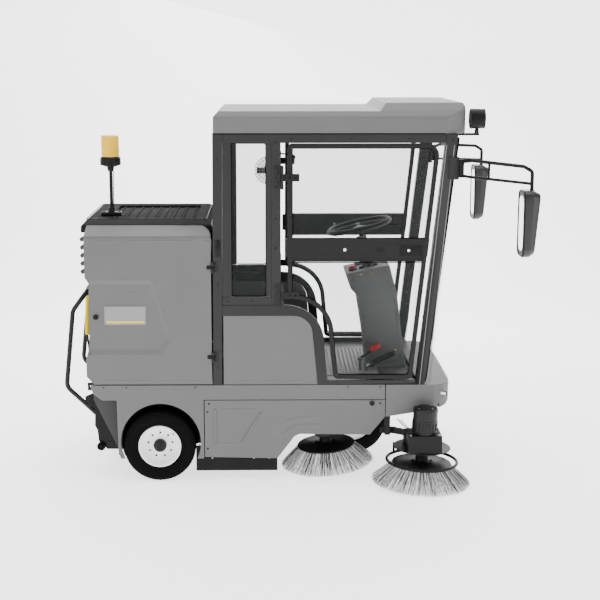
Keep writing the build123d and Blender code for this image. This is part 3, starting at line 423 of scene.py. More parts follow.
def rounded(points, radius, steps=5, closed=True):
    """Corner-rounded copy of a 2-D outline."""
    out = []
    count = len(points)
    for i, p in enumerate(points):
        if not closed and i in (0, count - 1):
            out.append(Vector(p))
            continue
        here = Vector(p)
        back, ahead = Vector(points[i - 1]) - here, Vector(points[(i + 1) % count]) - here
        reach = min(radius if not isinstance(radius, dict) else radius.get(i, 0), back.length * 0.45,
                    ahead.length * 0.45)
        if reach < 0.01:
            out.append(here)
            continue
        a, b = here + back.normalized() * reach, here + ahead.normalized() * reach
        for k in range(steps + 1):
            t = k / steps
            out.append(a * (1 - t) ** 2 + here * 2 * t * (1 - t) + b * t ** 2)
    return out


def add_plate(bm, outline, near, far, index=0, edge=0.8, place=None):
    """Plate with a 2-D outline (x, z) in millimetres, between two y values, edges chamfered; place maps points."""
    to = place or (lambda x, y, z: Vector((x / 1000, y / 1000, z / 1000)))
    pts = [Vector(p) for p in outline]
    middle = sum(pts, Vector((0, 0))) / len(pts)
    area = sum(pts[i].x * pts[(i + 1) % len(pts)].y - pts[(i + 1) % len(pts)].x * pts[i].y for i in range(len(pts)))
    turn = 1 if area > 0 else -1

    def inset(amount):
        out = []
        for i, p in enumerate(pts):
            d0 = (p - pts[i - 1])
            d1 = (pts[(i + 1) % len(pts)] - p)
            d0 = d0.normalized() if d0.length > 1e-6 else d1.normalized()
            d1 = d1.normalized() if d1.length > 1e-6 else d0
            n = Vector((-(d0.y + d1.y), d0.x + d1.x))
            n = n.normalized() if n.length > 1e-6 else Vector((-d0.y, d0.x))
            out.append(p + n * amount * turn)
        return out

    sign = 1 if far > near else -1
    layers = [(inset(edge), near), (pts, near + sign * edge), (pts, far - sign * edge), (inset(edge), far)]
    rings = [[bm.verts.new(to(p.x, y, p.y)) for p in layer] for layer, y in layers]
    for a, b in zip(rings, rings[1:]):
        for k in range(len(a)):
            bm.faces.new((a[k], a[(k + 1) % len(a)], b[(k + 1) % len(b)], b[k])).material_index = index
    for ring in (rings[0], rings[-1]):
        bm.faces.new(ring).material_index = index


def add_ridge(bm, path, half, height, y, sign, index=0, taper=3):
    """Soft raised bead along a side-view path, standing off the face at y."""
    pts = [Vector(p) for p in path]
    rows = []
    shape = [(-1, 0), (-0.8, 0.10), (-0.55, 0.45), (-0.25, 0.85), (0, 1), (0.25, 0.85), (0.55, 0.45), (0.8, 0.10),
             (1, 0)]
    for i, p in enumerate(pts):
        a, b = pts[max(i - 1, 0)], pts[min(i + 1, len(pts) - 1)]
        n = Vector((-(b - a).y, (b - a).x)).normalized()
        end = min(i, len(pts) - 1 - i)
        fade = min(1.0, end / taper) if taper else 1.0
        fade = fade * fade * (3 - 2 * fade)
        rows.append([bm.verts.new(Vector(((p.x + n.x * half * s) / 1000, (y + sign * (height * h * fade - 0.6)) / 1000,
                                          (p.y + n.y * half * s) / 1000))) for s, h in shape])
    for a, b in zip(rows, rows[1:]):
        for k in range(len(shape) - 1):
            bm.faces.new((a[k], a[k + 1], b[k + 1], b[k])).material_index = index


def between(a, b, count):
    return [tuple(Vector(a).lerp(Vector(b), k / (count - 1))) for k in range(count)]


def add_bolt(bm, centre, direction, radius=6, height=4, index=0):
    """Hexagon bolt head, with its washer, standing on a face."""
    add_lathe(bm, [(0, 0), (radius * 1.5, 0), (radius * 1.5, 1), (0, 1)], centre, direction, 20, index)
    add_lathe(bm, [(0, 0.8), (radius, 0.8), (radius, height - 0.8), (radius * 0.86, height), (0, height)], centre,
              direction, 6, index)


def add_screw(bm, centre, direction, radius=5):
    """Round-headed screw with a hollow in its head."""
    add_lathe(bm, [(0, 0), (radius, 0), (radius, 0.9), (radius * 0.8, 2.0), (radius * 0.45, 2.5), (radius * 0.42, 1.4),
                   (0, 1.4)], centre, direction, 20)


SIDES = {"right": -1, "left": 1}

# ------------------------------------------------------------------ lower body
for name, side in SIDES.items():
    polished(f"body_side_{name}", [BODY, BLACK], width=0.0022, segments=3,
             pick=lambda c, n: 1 if abs(c.y) > 0.5305 and c.x > 0.4 else 0)
    y = side * 525
    bm = bmesh.new()
    add_ridge(bm, between((-397, 392), (-165, 392), 14), 9, 3.0, y, side)
    add_ridge(bm, between((-397, 206), (-262, 206), 12), 9, 2.6, y, side)
    flute = rounded([(-120, 142), (-30, 262), (22, 300), (110, 308), (410, 300)], 90, 8, closed=False)
    add_ridge(bm, [tuple(p) for p in flute], 17, 3.6, y, side)
    flute = rounded([(-175, 142), (-70, 290), (0, 338), (110, 350), (395, 345)], 110, 8, closed=False)
    add_ridge(bm, [tuple(p) for p in flute], 14, 2.6, y, side)
    add_ridge(bm, between((-1010, 500), (480, 500), 40), 8, 1.2, y, side)
    put(f"body_beads_{name}", bm, BODY, "chassis")
    bm = bmesh.new()
    for x, z in ((-438, 380), (-438, 180), (470, 425), (-430, 425)):
        add_screw(bm, (x, y, z), (0, side, 0), 5)
    for x in (-980, -860, -500, 300, 470):
        add_screw(bm, (x, y, 514), (0, side, 0), 4)
    put(f"body_screws_{name}", bm, DARK_STEEL, "chassis")
    # wheel-arch liner, with a deep-black sheet behind the wheel: a black liner, and also painted shade for the dark
    # inside of the arch; then the plate behind the rear cut-out
    bm = bmesh.new()
    ring = []
    for k in range(33):
        a = math.radians(-22 + k * (224 / 32))
        ring.append((-685 + 207 * math.cos(a), 214 + 207 * math.sin(a)))
    inner = [(-685 + 203 * math.cos(math.radians(-22 + k * 7)), 214 + 203 * math.sin(math.radians(-22 + k * 7)))
             for k in range(33)]
    rows = []
    for (xo, zo), (xi, zi) in zip(ring, inner):
        rows.append([bm.verts.new(mm(xo, side * 380, zo)), bm.verts.new(mm(xo, side * 503, zo)),
                     bm.verts.new(mm(xi, side * 503, zi)), bm.verts.new(mm(xi, side * 384, zi))])
    for a, b in zip(rows, rows[1:]):
        for k in range(4):
            bm.faces.new((a[k], a[(k + 1) % 4], b[(k + 1) % 4], b[k]))
    bm.faces.new(rows[0])
    bm.faces.new(rows[-1])
    add_plate(bm, [(-892, 170), (-884, 300), (-820, 400), (-685, 419), (-550, 400), (-484, 300), (-478, 170),
                   (-560, 150), (-640, 240), (-740, 240), (-800, 150)], side * 379, side * 383)
    low, high = sorted((side * 496, side * 503))
    add_box(bm, (-474, low, 128), (-440, high, 440), None, 1, 2)
    put(f"arch_liner_and_painted_shade_{name}", bm, DEEP, "chassis")
    # Recessed plate behind the rear cut-out, in the darker copy of the body paint: painted shade of the recess.
    bm = bmesh.new()
    add_plate(bm, rounded([(-1040, 462), (-1040, 432), (-908, 150), (-896, 150), (-896, 462)], 6), side * 462,
              side * 468)
    put(f"rear_inner_plate_{name}", bm, BODY_PAINT_SHADED, "chassis")
    # skirt
    bm = bmesh.new()
    add_plate(bm, rounded([(-501, 52), (-70, 52), (-70, 190), (-501, 190)], 3), side * 504.4, side * 497.2, 0, 1.2)
    add_ridge(bm, between((-497, 70), (-74, 70), 24), 4, 1.4, side * 504.4, side, 0, 1)
    for x in range(-480, -80, 28):
        add_ridge(bm, between((x, 60), (x, 120), 8), 2.4, 0.9, side * 504.4, side, 0, 2)
    put(f"side_skirt_{name}", bm, SKIRT, "chassis")
    bm = bmesh.new()
    for x in (-415, -195, -114):
        add_screw(bm, (x, side * 504.4, 122), (0, side, 0), 5)
    put(f"skirt_rivets_{name}", bm, STEEL, "chassis")
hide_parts("side_skirts")

polished("front_cowl", [BODY], width=0.004, segments=3, angle=20)
bm = bmesh.new()
for side in (-1, 1):
    turn = placed(800, side * 506, 474, side * math.radians(32), "Z")
    add_box(bm, (-24, -4, -11), (24, 4, 11), turn, 3, 3)
put("cowl_marker_frames", bm, BLACK, "chassis")
bm = bmesh.new()
for side in (-1, 1):
    turn = placed(800, side * 506, 474, side * math.radians(32), "Z")
    add_box(bm, (-20, -6, -8), (20, 6, 8), turn, 3, 3)
put("cowl_markers", bm, MARKER, "chassis")
bm = bmesh.new()
for y in (-380, -190, 0, 190, 380):
    add_screw(bm, (863 if abs(y) < 200 else 851, y, 500), (0.6, 0, 0.8), 4.5)
put("cowl_screws", bm, DARK_STEEL, "chassis")

polished("chassis_frame", [DARK_STEEL], width=0.0015, segments=2)
polished("cab_floor", [BODY], width=0.0012, segments=2)
bm = bmesh.new()
add_box(bm, (70, -330, 525.2), (480, 330, 529), None, 1.5, 2)
for x in range(90, 470, 22):
    for y in range(-310, 320, 22):
        if abs(y + 200) < 70 and x > 360:
            continue
        add_lathe(bm, [(0, 3.2), (6, 3.2), (5, 5.0), (0, 5.4)], (x, y, 526), (0, 0, 1), 8)
put("floor_mat", bm, LIGHT_GREY, "chassis")

# ------------------------------------------------------------------ cab frame and roof
polished("cab_frame", [FRAME], width=0.0022, segments=2)
polished("hinge_screws", [DARK_STEEL], width=0.0006, segments=2)
polished("roof_panel", [BODY], width=0.008, segments=4, angle=14)
for name, side in SIDES.items():
    polished(f"quarter_panel_{name}", [BODY], width=0.003, segments=3)
    y = side * 521
    bm = bmesh.new()
    add_ridge(bm, between((-330, 545), (120, 545), 20), 7, 1.6, y, side)
    add_ridge(bm, between((-334, 880), (40, 880), 20), 7, 1.6, y, side)
    put(f"quarter_beads_{name}", bm, BODY, "chassis")
    # rubber seals round the quarter window and along the windscreen pillar
    bm = bmesh.new()
    seal = rounded([(-305, 998), (-128, 998), (-128, 1784), (-305, 1784)], 12, 4)
    add_tube(bm, [(p.x, side * 518, p.y) for p in seal], 3.2, 8, closed=True)
    add_tube(bm, between((706, side * 514, 540), (850, side * 514, 1812), 12), 5, 8)
    put(f"window_seals_{name}", bm, DEEP, "chassis")
    # Two light grey strips down each windscreen pillar: painted highlights where the rounded pillar edges catch the
    # light.
    bm = bmesh.new()
    for path in ([(787, 1775), (746, 1316), (674, 524)], [(827, 1775), (786, 1316), (716, 524)]):
        add_tube(bm, [(x, side * 525.5, z) for x, z in path], 2.2, 8)
    put(f"pillar_highlight_strips_{name}", bm, PILLAR_HIGHLIGHT, "chassis")
    # striker of the cab door and screws in the frame
    bm = bmesh.new()
    low, high = sorted((side * 524, side * 532))
    add_box(bm, (-388, low, 1205), (-364, high, 1290), None, 2, 2)
    for z in (1216, 1247, 1279):
        add_screw(bm, (-376, side * 532, z), (0, side, 0), 4.5)
    put(f"pillar_striker_{name}", bm, BLACK, "chassis")
    bm = bmesh.new()
    for x, z in ((-78, 1400), (-78, 1250), (-78, 1790), (-376, 1700), (-380, 620), (-376, 1060), (300, 1806),
                 (600, 1806), (0, 1806), (820, 1800), (700, 560), (-200, 972), (-330, 972)):
        add_screw(bm, (x, side * 525, z), (0, side, 0), 4.2)
    put(f"frame_screws_{name}", bm, DARK_STEEL, "chassis")
for node in ("windscreen", "cab_glass", "door_glass_right", "door_glass_left"):
    for slot_index in range(len(NODES[node].material_slots)):
        NODES[node].material_slots[slot_index].link = "OBJECT"
        NODES[node].material_slots[slot_index].material = GLASS

# headlining and roof seams
bm = bmesh.new()
add_box(bm, (-384, -470, 1822), (780, 470, 1828.6), None, 2, 2)
put("headlining", bm, LIGHT_GREY, "chassis")
bm = bmesh.new()
add_tube(bm, [(-395, -519, 1831), (780, -519, 1831)], 3, 8)
add_tube(bm, [(-395, 519, 1831), (780, 519, 1831)], 3, 8)
add_tube(bm, [(-397, -519, 1831), (-397, 519, 1831)], 3, 8)
put("roof_seal", bm, DEEP, "chassis")

# ------------------------------------------------------------------ rear body
for name, side in SIDES.items():
    polished(f"service_door_{name}", [BODY, BLACK], width=0.003, segments=3, angle=16,
             dissolve=False, pick=lambda c, n: 1 if c.x > -0.436 and abs(c.y) > 0.5255 else 0)
    y = side * 517
    bm = bmesh.new()
    # light bead along the front edge, round the top corner, and the rounded edges of the pressing
    bead = rounded([(-419, 545), (-419, 1285), (-470, 1288)], 34, 6, closed=False)
    add_ridge(bm, [tuple(p) for p in bead], 9, 4.2, side * 525, side, 0, 2)
    add_ridge(bm, between((-1015, 548), (-430, 548), 24), 5, 1.8, side * 525, side, 0, 2)
    add_ridge(bm, between((-1052, 1284), (-480, 1288), 24), 7, 2.2, side * 525, side, 0, 2)
    recess = rounded([(-1038, 1086), (-712, 1085), (-615, 763), (-677, 690), (-1040, 690)], 22, 6, closed=False)
    rows = []
    for i, p in enumerate(recess):
        a, b = recess[max(i - 1, 0)], recess[min(i + 1, len(recess) - 1)]
        inward = Vector(((b - a).y, -(b - a).x)).normalized() if (b - a).length > 0 else Vector((0, -1))
        rows.append([bm.verts.new(mm(p.x - inward.x * 4, side * 524.0, p.y - inward.y * 4)),
                     bm.verts.new(mm(p.x, side * 525.3, p.y)),
                     bm.verts.new(mm(p.x + inward.x * 25, side * 517.6, p.y + inward.y * 25)),
                     bm.verts.new(mm(p.x + inward.x * 31, side * 516.4, p.y + inward.y * 31))])
    for a, b in zip(rows, rows[1:]):
        for k in range(3):
            bm.faces.new((a[k], a[k + 1], b[k + 1], b[k]))
    for z in (760, 1015):
        add_ridge(bm, between((-1010, z), (-740, z), 14), 6, 1.4, y, side, 0, 3)
    put(f"service_door_beads_{name}", bm, BODY, f"service_{name}")
    # Rear louvres in the darker copy of the body paint: painted shade between the louvres.
    bm = bmesh.new()
    for z in (1128, 1170, 1212, 1254, 1296):
        turn = placed(-1069, side * 500, z, math.radians(-24), "Y")
        add_box(bm, (-12, -24, -10), (12, 24, 10), turn, 4, 3)
    put(f"rear_louvres_{name}", bm, BODY_PAINT_SHADED, f"service_{name}")
    bm = bmesh.new()
    for z in (1150, 677):
        add_screw(bm, (-424, side * 527, z), (0, side, 0), 3.4)
    add_lathe(bm, [(0, 0), (14, 0), (14, 2), (11, 3.4), (5, 3.4), (4, 1.4), (0, 1.4)], (-1010, side * 525, 890),
              (0, side, 0), 28)
    put(f"service_door_lock_{name}", bm, BLACK, f"service_{name}")
bm = bmesh.new()
plate = rounded([(-966, 848), (-751, 848), (-751, 946), (-966, 946)], 6, 4)
add_plate(bm, plate, -516.8, -520.2, 0, 1.0)
frame_line = rounded([(-962, 852), (-755, 852), (-755, 942), (-962, 942)], 5, 4)
add_tube(bm, [(p.x, -520.4, p.y) for p in frame_line], 1.1, 8, closed=True)
band = rounded([(-956, 858), (-761, 858), (-761, 866), (-956, 866)], 2, 3)
add_plate(bm, band, -519.6, -520.9, 1, 0.4)
put("blank_plate", bm, [BADGE, YELLOW], "service_right", ("blank_badge",))

polished("rear_enclosure", [BODY], width=0.0015, segments=2)
polished("battery_pack", [BATTERY], width=0.004, segments=3)
polished("filter_housing", [BLACK], width=0.003, segments=3)
# The hood's upward faces take the mid-grey of the painted sheen. Its other faces are black plastic.
polished("hood_cover", [BLACK, HOOD_TOP_SHEEN], width=0.004, segments=3, angle=16,
         pick=lambda c, n: 1 if n.z > 0.5 else 0)
polished("hood_grille", [HOOD_TOP_SHEEN], width=0.002, segments=3)
# Deck plate under the grille ribs, closing the grille's openings, in the painted-sheen grey.
bm = bmesh.new()
add_box(bm, (-954, -296, 1350), (-506, 296, 1362.5), None, 1, 2)
for x in range(-900, -510, 62):
    add_box(bm, (x, -294, 1362), (x + 6, 294, 1366), None, 1.4, 2)
put("hood_ribs", bm, HOOD_TOP_SHEEN, "chassis")
bm = bmesh.new()
trim = rounded([(-1072, -350), (-440, -350), (-440, 350), (-1072, 350)], 40, 6)
add_tube(bm, [(p.x, p.y, 1376.5) for p in trim], 3.2, 8, closed=True)
for sx, sy in ((-1020, -325), (-1020, 325), (-470, -325), (-470, 325)):
    add_bolt(bm, (sx, sy, 1376), (0, 0, 1), 7, 5)
put("hood_trim", bm, BLACK, "chassis")

# clamp, cable and lamp of the beacon
polished("beacon_pole", [BLACK], width=0.0015, segments=2)
bx, by = -953, -200
bm = bmesh.new()
add_box(bm, (bx - 53, by - 30, 1382), (bx + 53, by + 30, 1400), None, 3, 3)
for sx in (-42, 42):
    add_bolt(bm, (bx + sx, by, 1399.5), (0, 0, 1), 6, 5)
add_lathe(bm, [(9.4, 1407), (17, 1407), (17, 1418), (13, 1424), (9.4, 1424)], (bx, by, 0), (0, 0, 1), 28)
add_lathe(bm, [(9.4, 1616), (15, 1616), (19, 1636), (19, 1641), (9.4, 1641)], (bx, by, 0), (0, 0, 1), 28)
cable = [(bx + 14, by - 4, 1386), (bx + 13, by - 9, 1430), (bx + 12.5, by - 2, 1500), (bx + 12.5, by + 2, 1570),
         (bx + 14, by, 1622)]
add_tube(bm, cable, 2.6, 8)
put("beacon_clamp", bm, BLACK, "chassis")
bm = bmesh.new()
outline = [(0, 1694), (47, 1694), (48, 1697)]
for k in range(17):
    z = 1699 + k * 5.7
    outline += [(48, z), (46.9, z + 1.5), (46.9, z + 3.2), (48, z + 4.7)]
outline += [(48, 1797), (46.5, 1802), (43, 1805.5), (34, 1807), (0, 1807)]
add_lathe(bm, outline, (bx, by, 0), (0, 0, 1), 72)
put("beacon_lens_ribbed", bm, AMBER, "chassis", ("beacon_lens",), angle=50)
bm = bmesh.new()
add_lathe(bm, [(0, 1696), (34, 1696), (30, 1702), (16, 1712), (13, 1740), (15, 1770), (9, 1784), (0, 1788)],
          (bx, by, 0), (0, 0, 1), 40)
put("beacon_core", bm, AMBER_CORE, "chassis")

# rear face: lamps, panel beads and bolts
LAMP_Y, RED_LAMP_Z, AMBER_LAMP_Z = 400, 1190, 1110
LAMP_RING = [(0, 0), (34, 0), (34, 10), (31, 13), (28, 13), (28, 9), (0, 9)]
LAMP_LENS = [(0, 0), (27.5, 0), (27.5, 3), (20, 6), (10, 7.4), (0, 8)]
bm = bmesh.new()
for side in (-1, 1):
    for z in (RED_LAMP_Z, AMBER_LAMP_Z):
        add_lathe(bm, LAMP_RING, (-1042, side * LAMP_Y, z), (-1, 0, 0), 40)
put("rear_lamp_rings", bm, BLACK, "chassis")
for name, z, mat in (("red", RED_LAMP_Z, TAIL), ("amber", AMBER_LAMP_Z, AMBER)):
    bm = bmesh.new()
    for side in (-1, 1):
        add_lathe(bm, LAMP_LENS, (-1051, side * LAMP_Y, z), (-1, 0, 0), 40)
    put(f"rear_lamps_{name}", bm, mat, "chassis")
bm = bmesh.new()
for low, high in (((-1046, -330, 640), (-1041, 330, 646)), ((-1046, -330, 1240), (-1041, 330, 1246)),
                  ((-1046, -336, 640), (-1041, -330, 1246)), ((-1046, 330, 640), (-1041, 336, 1246))):
    add_box(bm, low, high, None, 2, 3)
for k in range(9):
    z = 960 + k * 26
    turn = placed(-1043, 0, z, math.radians(-28), "Y")
    add_box(bm, (-5, -250, -5), (5, 250, 5), turn, 2, 3)
put("rear_panel_beads", bm, BODY, "chassis")
bm = bmesh.new()
for y in (-310, 310):
    for z in (670, 940, 1215):
        add_bolt(bm, (-1042, y, z), (-1, 0, 0), 6, 5)
put("rear_panel_bolts", bm, STEEL, "chassis")

# ------------------------------------------------------------------ cab doors
for name, side in SIDES.items():
    polished(f"cab_door_{name}", [DOOR], width=0.0022, segments=3)
    polished(f"door_latch_{name}", [BLACK], width=0.0015, segments=3)
    y = side * 525
    bm = bmesh.new()
    for x, z in ((248, 1240), (290, 1258), (290, 1222)):
        add_lathe(bm, [(0, -2), (4, -2), (4, 0.5), (3, 1), (0, 1)], (x, y, z), (0, side, 0), 16)
    slot_line = rounded([(440, 1228), (482, 1228), (482, 1252), (440, 1252)], 5, 4)
    add_plate(bm, slot_line, y - side * 1, y + side * 1.2, 0, 0.4)
    catch = rounded([(560, 1206), (676, 1206), (676, 1262), (560, 1262)], 8, 4)
    add_plate(bm, catch, y - side * 0.5, y + side * 2.2, 0, 0.8)
    for x in (570, 666):
        for z in (1214, 1254):
            add_screw(bm, (x, y + side * 2.0, z), (0, side, 0), 3.5)
    put(f"door_plate_{name}", bm, BLACK, f"door_{name}")
    bm = bmesh.new()
    add_lathe(bm, [(0, 0), (8, 0), (8, 1.6), (6, 2.4), (0, 2.4)], (276, y - side * 2, 1240), (0, side, 0), 28)
    add_lathe(bm, [(0, 0), (7, 0), (7, 1.6), (5, 2.4), (0, 2.4)], (604, y + side * 2.0, 1236), (0, side, 0), 28)
    put(f"door_button_{name}", bm, MARKER, f"door_{name}")
    # rubber lips where the panes meet the door tube, and the screws of the straps
    bm = bmesh.new()
    upper = rounded([(6, 1299), (698, 1299), (731, 1759), (6, 1759)], {2: 46, 0: 6, 1: 6, 3: 10}, 6)
    sweep = [(8.3 + 212 * math.cos(math.radians(t)), 794 + 212 * math.sin(math.radians(t))) for t in range(6, 91, 6)]
    lower = rounded([(6, 1174), (678, 1174), (613, 580), (241, 581), *sweep, (6, 1006)], {0: 6, 1: 6, 2: 14, 3: 14}, 8)
    for loop in (upper, lower):
        add_tube(bm, [(p.x, side * 519, p.y) for p in loop], 3.0, 8, closed=True)
    for z in (1611, 1003):
        for x in (-6, 24):
            add_screw(bm, (x, side * 530, z), (0, side, 0), 4.6)
    put(f"door_seals_{name}", bm, DEEP, f"door_{name}")

# ------------------------------------------------------------------ rear wheels
def tyre_profile(side, inner, outer, tread, bead):
    """Closed section of a tyre with grooves round the tread, (radius, distance) in millimetres."""
    pts = [(bead, inner + 12), (bead + 8, inner + 5), (tread - 52, inner + 1.5), (tread - 36, inner),
           (tread - 20, inner + 2), (tread - 9, inner + 7), (tread - 3, inner + 14)]
    grooves = [inner + 30, (inner + outer) / 2 - 10, (inner + outer) / 2 + 10, outer - 30]
    pts.append((tread - 0.6, inner + 21))
    for g in grooves:
        pts += [(tread, g - 3.6), (tread - 1.2, g - 2.8), (tread - 6, g - 2.0), (tread - 6, g + 2.0),
                (tread - 1.2, g + 2.8), (tread, g + 3.6)]
    pts += [(tread - 0.6, outer - 21), (tread - 3, outer - 14), (tread - 9, outer - 7), (tread - 20, outer - 2),
            (tread - 36, outer), (tread - 52, outer - 1.5), (bead + 8, outer - 5), (bead, outer - 12)]
    return [(r, side * h) for r, h in pts]


for name, side in SIDES.items():
    axle = (-692, 0, 190)
    bm = bmesh.new()
    add_lathe(bm, tyre_profile(side, 405, 525, 190, 113.2), axle, (0, 1, 0), 112)
    for r in (128, 146, 166):
        add_lathe(bm, [(r - 1.4, side * 522.6), (r, side * 525.4), (r + 1.4, side * 522.6)], axle, (0, 1, 0), 112)
    for a in circle(56):
        for h0, h1 in ((408, 418), (512, 522)):
            turn = placed(-692, 0, 190, a, "Y")
            low, high = sorted((side * h0, side * h1))
            add_box(bm, (-1.6, low, 179), (1.6, high, 185.5), turn, 0)
    put(f"tyre_{name}_treaded", bm, RUBBER, f"rear_wheel_{name}", (f"tyre_{name}",), angle=40)
    polished(f"rim_{name}", [RIM, DARK_STEEL], width=0.0014, segments=2, angle=24,
             pick=lambda c, n: 1 if ((c.x + 0.692) ** 2 + (c.z - 0.19) ** 2) ** 0.5 < 0.0345 else 0)
    bm = bmesh.new()
    for k in range(9):
        a = math.radians(90 + k * 40)
        x, z = -692 + 65 * math.cos(a), 190 + 65 * math.sin(a)
        add_lathe(bm, [(0, 0), (5.2, 0), (5.2, 3), (0, 3)], (x, side * 474.4, z), (0, side, 0), 16)
    add_lathe(bm, [(0, 0), (27, 0), (27, 2.4), (24, 4), (15, 4.4), (13, 2.6), (0, 2.6)], (-692, side * 508, 190),
              (0, side, 0), 36)
    add_lathe(bm, [(0, 2), (9, 2), (9, 6), (7.6, 7.2), (0, 7.2)], (-692, side * 508, 190), (0, side, 0), 6)
    add_lathe(bm, [(3.4, 0), (3.4, 20), (2.6, 26), (0, 26)], (-692 + 70, side * 478, 190 + 60), (0, side, 0), 12)
    put(f"wheel_fittings_{name}", bm, DARK_STEEL, f"rear_wheel_{name}")

# ------------------------------------------------------------------ drive wheel and fork
polished("steering_fork", [DARK_STEEL], width=0.002, segments=3)
bm = bmesh.new()
add_lathe(bm, [(110.2, -56), (140, -59), (164, -57), (182, -50), (188, -42), (190, -34), (190, -26), (184, -24),
               (184, -20), (190, -18), (190, -3), (184, -2), (184, 2), (190, 3), (190, 18), (184, 20), (184, 24),
               (190, 26), (190, 34), (188, 42), (182, 50), (164, 57), (140, 59), (110.2, 56)], (357, 0, 190),
          (0, 1, 0), 112)
put("drive_tyre", bm, RUBBER, "drive", (), angle=40)
bm = bmesh.new()
add_lathe(bm, [(12.2, -68), (38, -68), (42, -62), (60, -56), (96, -48), (104, -52), (109.6, -52), (109.6, 52),
               (104, 52), (96, 48), (60, 56), (42, 62), (38, 68), (12.2, 68)], (357, 0, 190), (0, 1, 0), 72, 0)
for k in range(5):
    a = math.radians(90 + 72 * k)
    for side in (-1, 1):
        add_bolt(bm, (357 + 74 * math.cos(a), side * 51, 190 + 74 * math.sin(a)), (0, side, 0), 7, 8, 1)
put("drive_hub", bm, [RIM, DARK_STEEL], "drive", ("drive_wheel",), angle=30)

# ------------------------------------------------------------------ steering console and controls
TOP_SLOPE = math.atan2(44, 192)


def on_top(x, y=-60, height=0.0):
    """Matrix standing on the console's sloping top."""
    foot = Vector((x, y, 1048 + (x - 308) * math.tan(TOP_SLOPE)))
    foot += Vector((-math.sin(TOP_SLOPE), 0, math.cos(TOP_SLOPE))) * height
    return Matrix.Translation(foot / 1000) @ Matrix.Rotation(-TOP_SLOPE, 4, "Y")


TOP_UP = (-math.sin(TOP_SLOPE), 0, math.cos(TOP_SLOPE))
polished("steering_console", [CONSOLE, LIGHT_GREY], width=0.005, segments=4, angle=24,
         pick=lambda c, n: 1 if c.z > 1.035 and n.z > 0.8 else 0)
bm = bmesh.new()
for side in (-1, 1):
    y = side * 150
    seam = rounded([(444, 560), (431, 668), (388, 930), (350, 972), (334, 1030), (500, 1068), (530, 1070),
                    (574, 930), (622, 560)], 18, 5)
    add_tube(bm, [(p.x, y, p.y) for p in seam], 2.2, 8, closed=True)
    add_ridge(bm, between((450, 700), (600, 700), 12), 5, 1.6, y, side, 0, 2)
    add_ridge(bm, between((415, 880), (580, 880), 12), 5, 1.6, y, side, 0, 2)
for z in (600, 690, 780, 870):
    x = 430 - (z - 526) * 0.109
    add_tube(bm, [(x - 1, -128, z), (x - 1, 128, z)], 2.0, 8)
put("console_beads", bm, CONSOLE, "chassis")
bm = bmesh.new()
for side in (-1, 1):
    for x, z in ((452, 590), (612, 590), (404, 905), (572, 905), (512, 1062), (350, 1018)):
        add_screw(bm, (x, side * 150, z), (0, side, 0), 4.2)
put("console_screws", bm, DARK_STEEL, "chassis")
bm = bmesh.new()
for x in (398, 472):
    add_box(bm, (-15, -20, -1), (15, 20, 6), on_top(x), 2, 3)
    add_box(bm, (-11, -15, 5), (11, 15, 10), on_top(x) @ Matrix.Rotation(math.radians(9), 4, "Y"), 2, 3)
for y in (60, 100):
    add_box(bm, (-22, -14, -1), (22, 14, 5), on_top(390, y), 2, 3)
    for k in (-12, 0, 12):
        add_box(bm, (k - 3, -8, 4), (k + 3, 8, 9), on_top(390, y), 1, 2)
add_lathe(bm, [(9, 0), (25, 0), (25, 3), (22, 5), (9, 5)], tuple(on_top(350).translation * 1000), TOP_UP, 36)
put("console_switches", bm, BLACK, "chassis")
bm = bmesh.new()
for x, z in ((389, 1046), (443, 1054), (584, 626), (600, 560)):
    add_plate(bm, rounded([(x - 7, z - 2), (x + 7, z - 2), (x + 7, z + 2), (x - 7, z + 2)], 1, 3), -149.8, -151.2,
              0, 0.3)
put("console_marks", bm, YELLOW, "chassis")

base = tuple(on_top(350).translation * 1000)
bm = bmesh.new()
add_lathe(bm, [(0, -13.6), (8.4, -13.6), (8.4, 7), (13, 8), (19.4, 9), (20, 13), (19, 19), (15, 22.6), (8, 24),
               (0, 24)], base, TOP_UP, 40)
for k in range(12):
    a = math.radians(k * 30)
    turn = on_top(350, -60, 14) @ Matrix.Rotation(a, 4, "Z")
    add_box(bm, (18.6, -1.4, -4), (20.4, 1.4, 4), turn, 0.5, 2)
put("emergency_stop_head", bm, RED, "stop_button", ("emergency_stop",))
base = tuple(on_top(436).translation * 1000)
bm = bmesh.new()
add_lathe(bm, [(0, -13.6), (8.4, -13.6), (8.4, 2), (14.6, 2.6), (15, 6), (13.6, 9.4), (6, 10), (0, 10)], base, TOP_UP,
          36)
add_box(bm, (-3, -3, 8), (3, 3, 16), on_top(436), 0.8, 2)
add_box(bm, (-10, -2.6, 15), (10, 2.6, 34), on_top(436), 2.4, 3)
put("key_and_barrel", bm, [DARK_STEEL], "key", ("key_switch",))

# ------------------------------------------------------------------ steering wheel
STEER_TILT = math.radians(12.7)
steer_turn = Matrix(((math.cos(STEER_TILT), 0, -math.sin(STEER_TILT), 0.386), (0, 1, 0, 0),
                     (math.sin(STEER_TILT), 0, math.cos(STEER_TILT), 1.297), (0, 0, 0, 1)))


def at_wheel(x, y, z):
    return tuple((steer_turn @ Vector(mm(x, y, z))) * 1000)


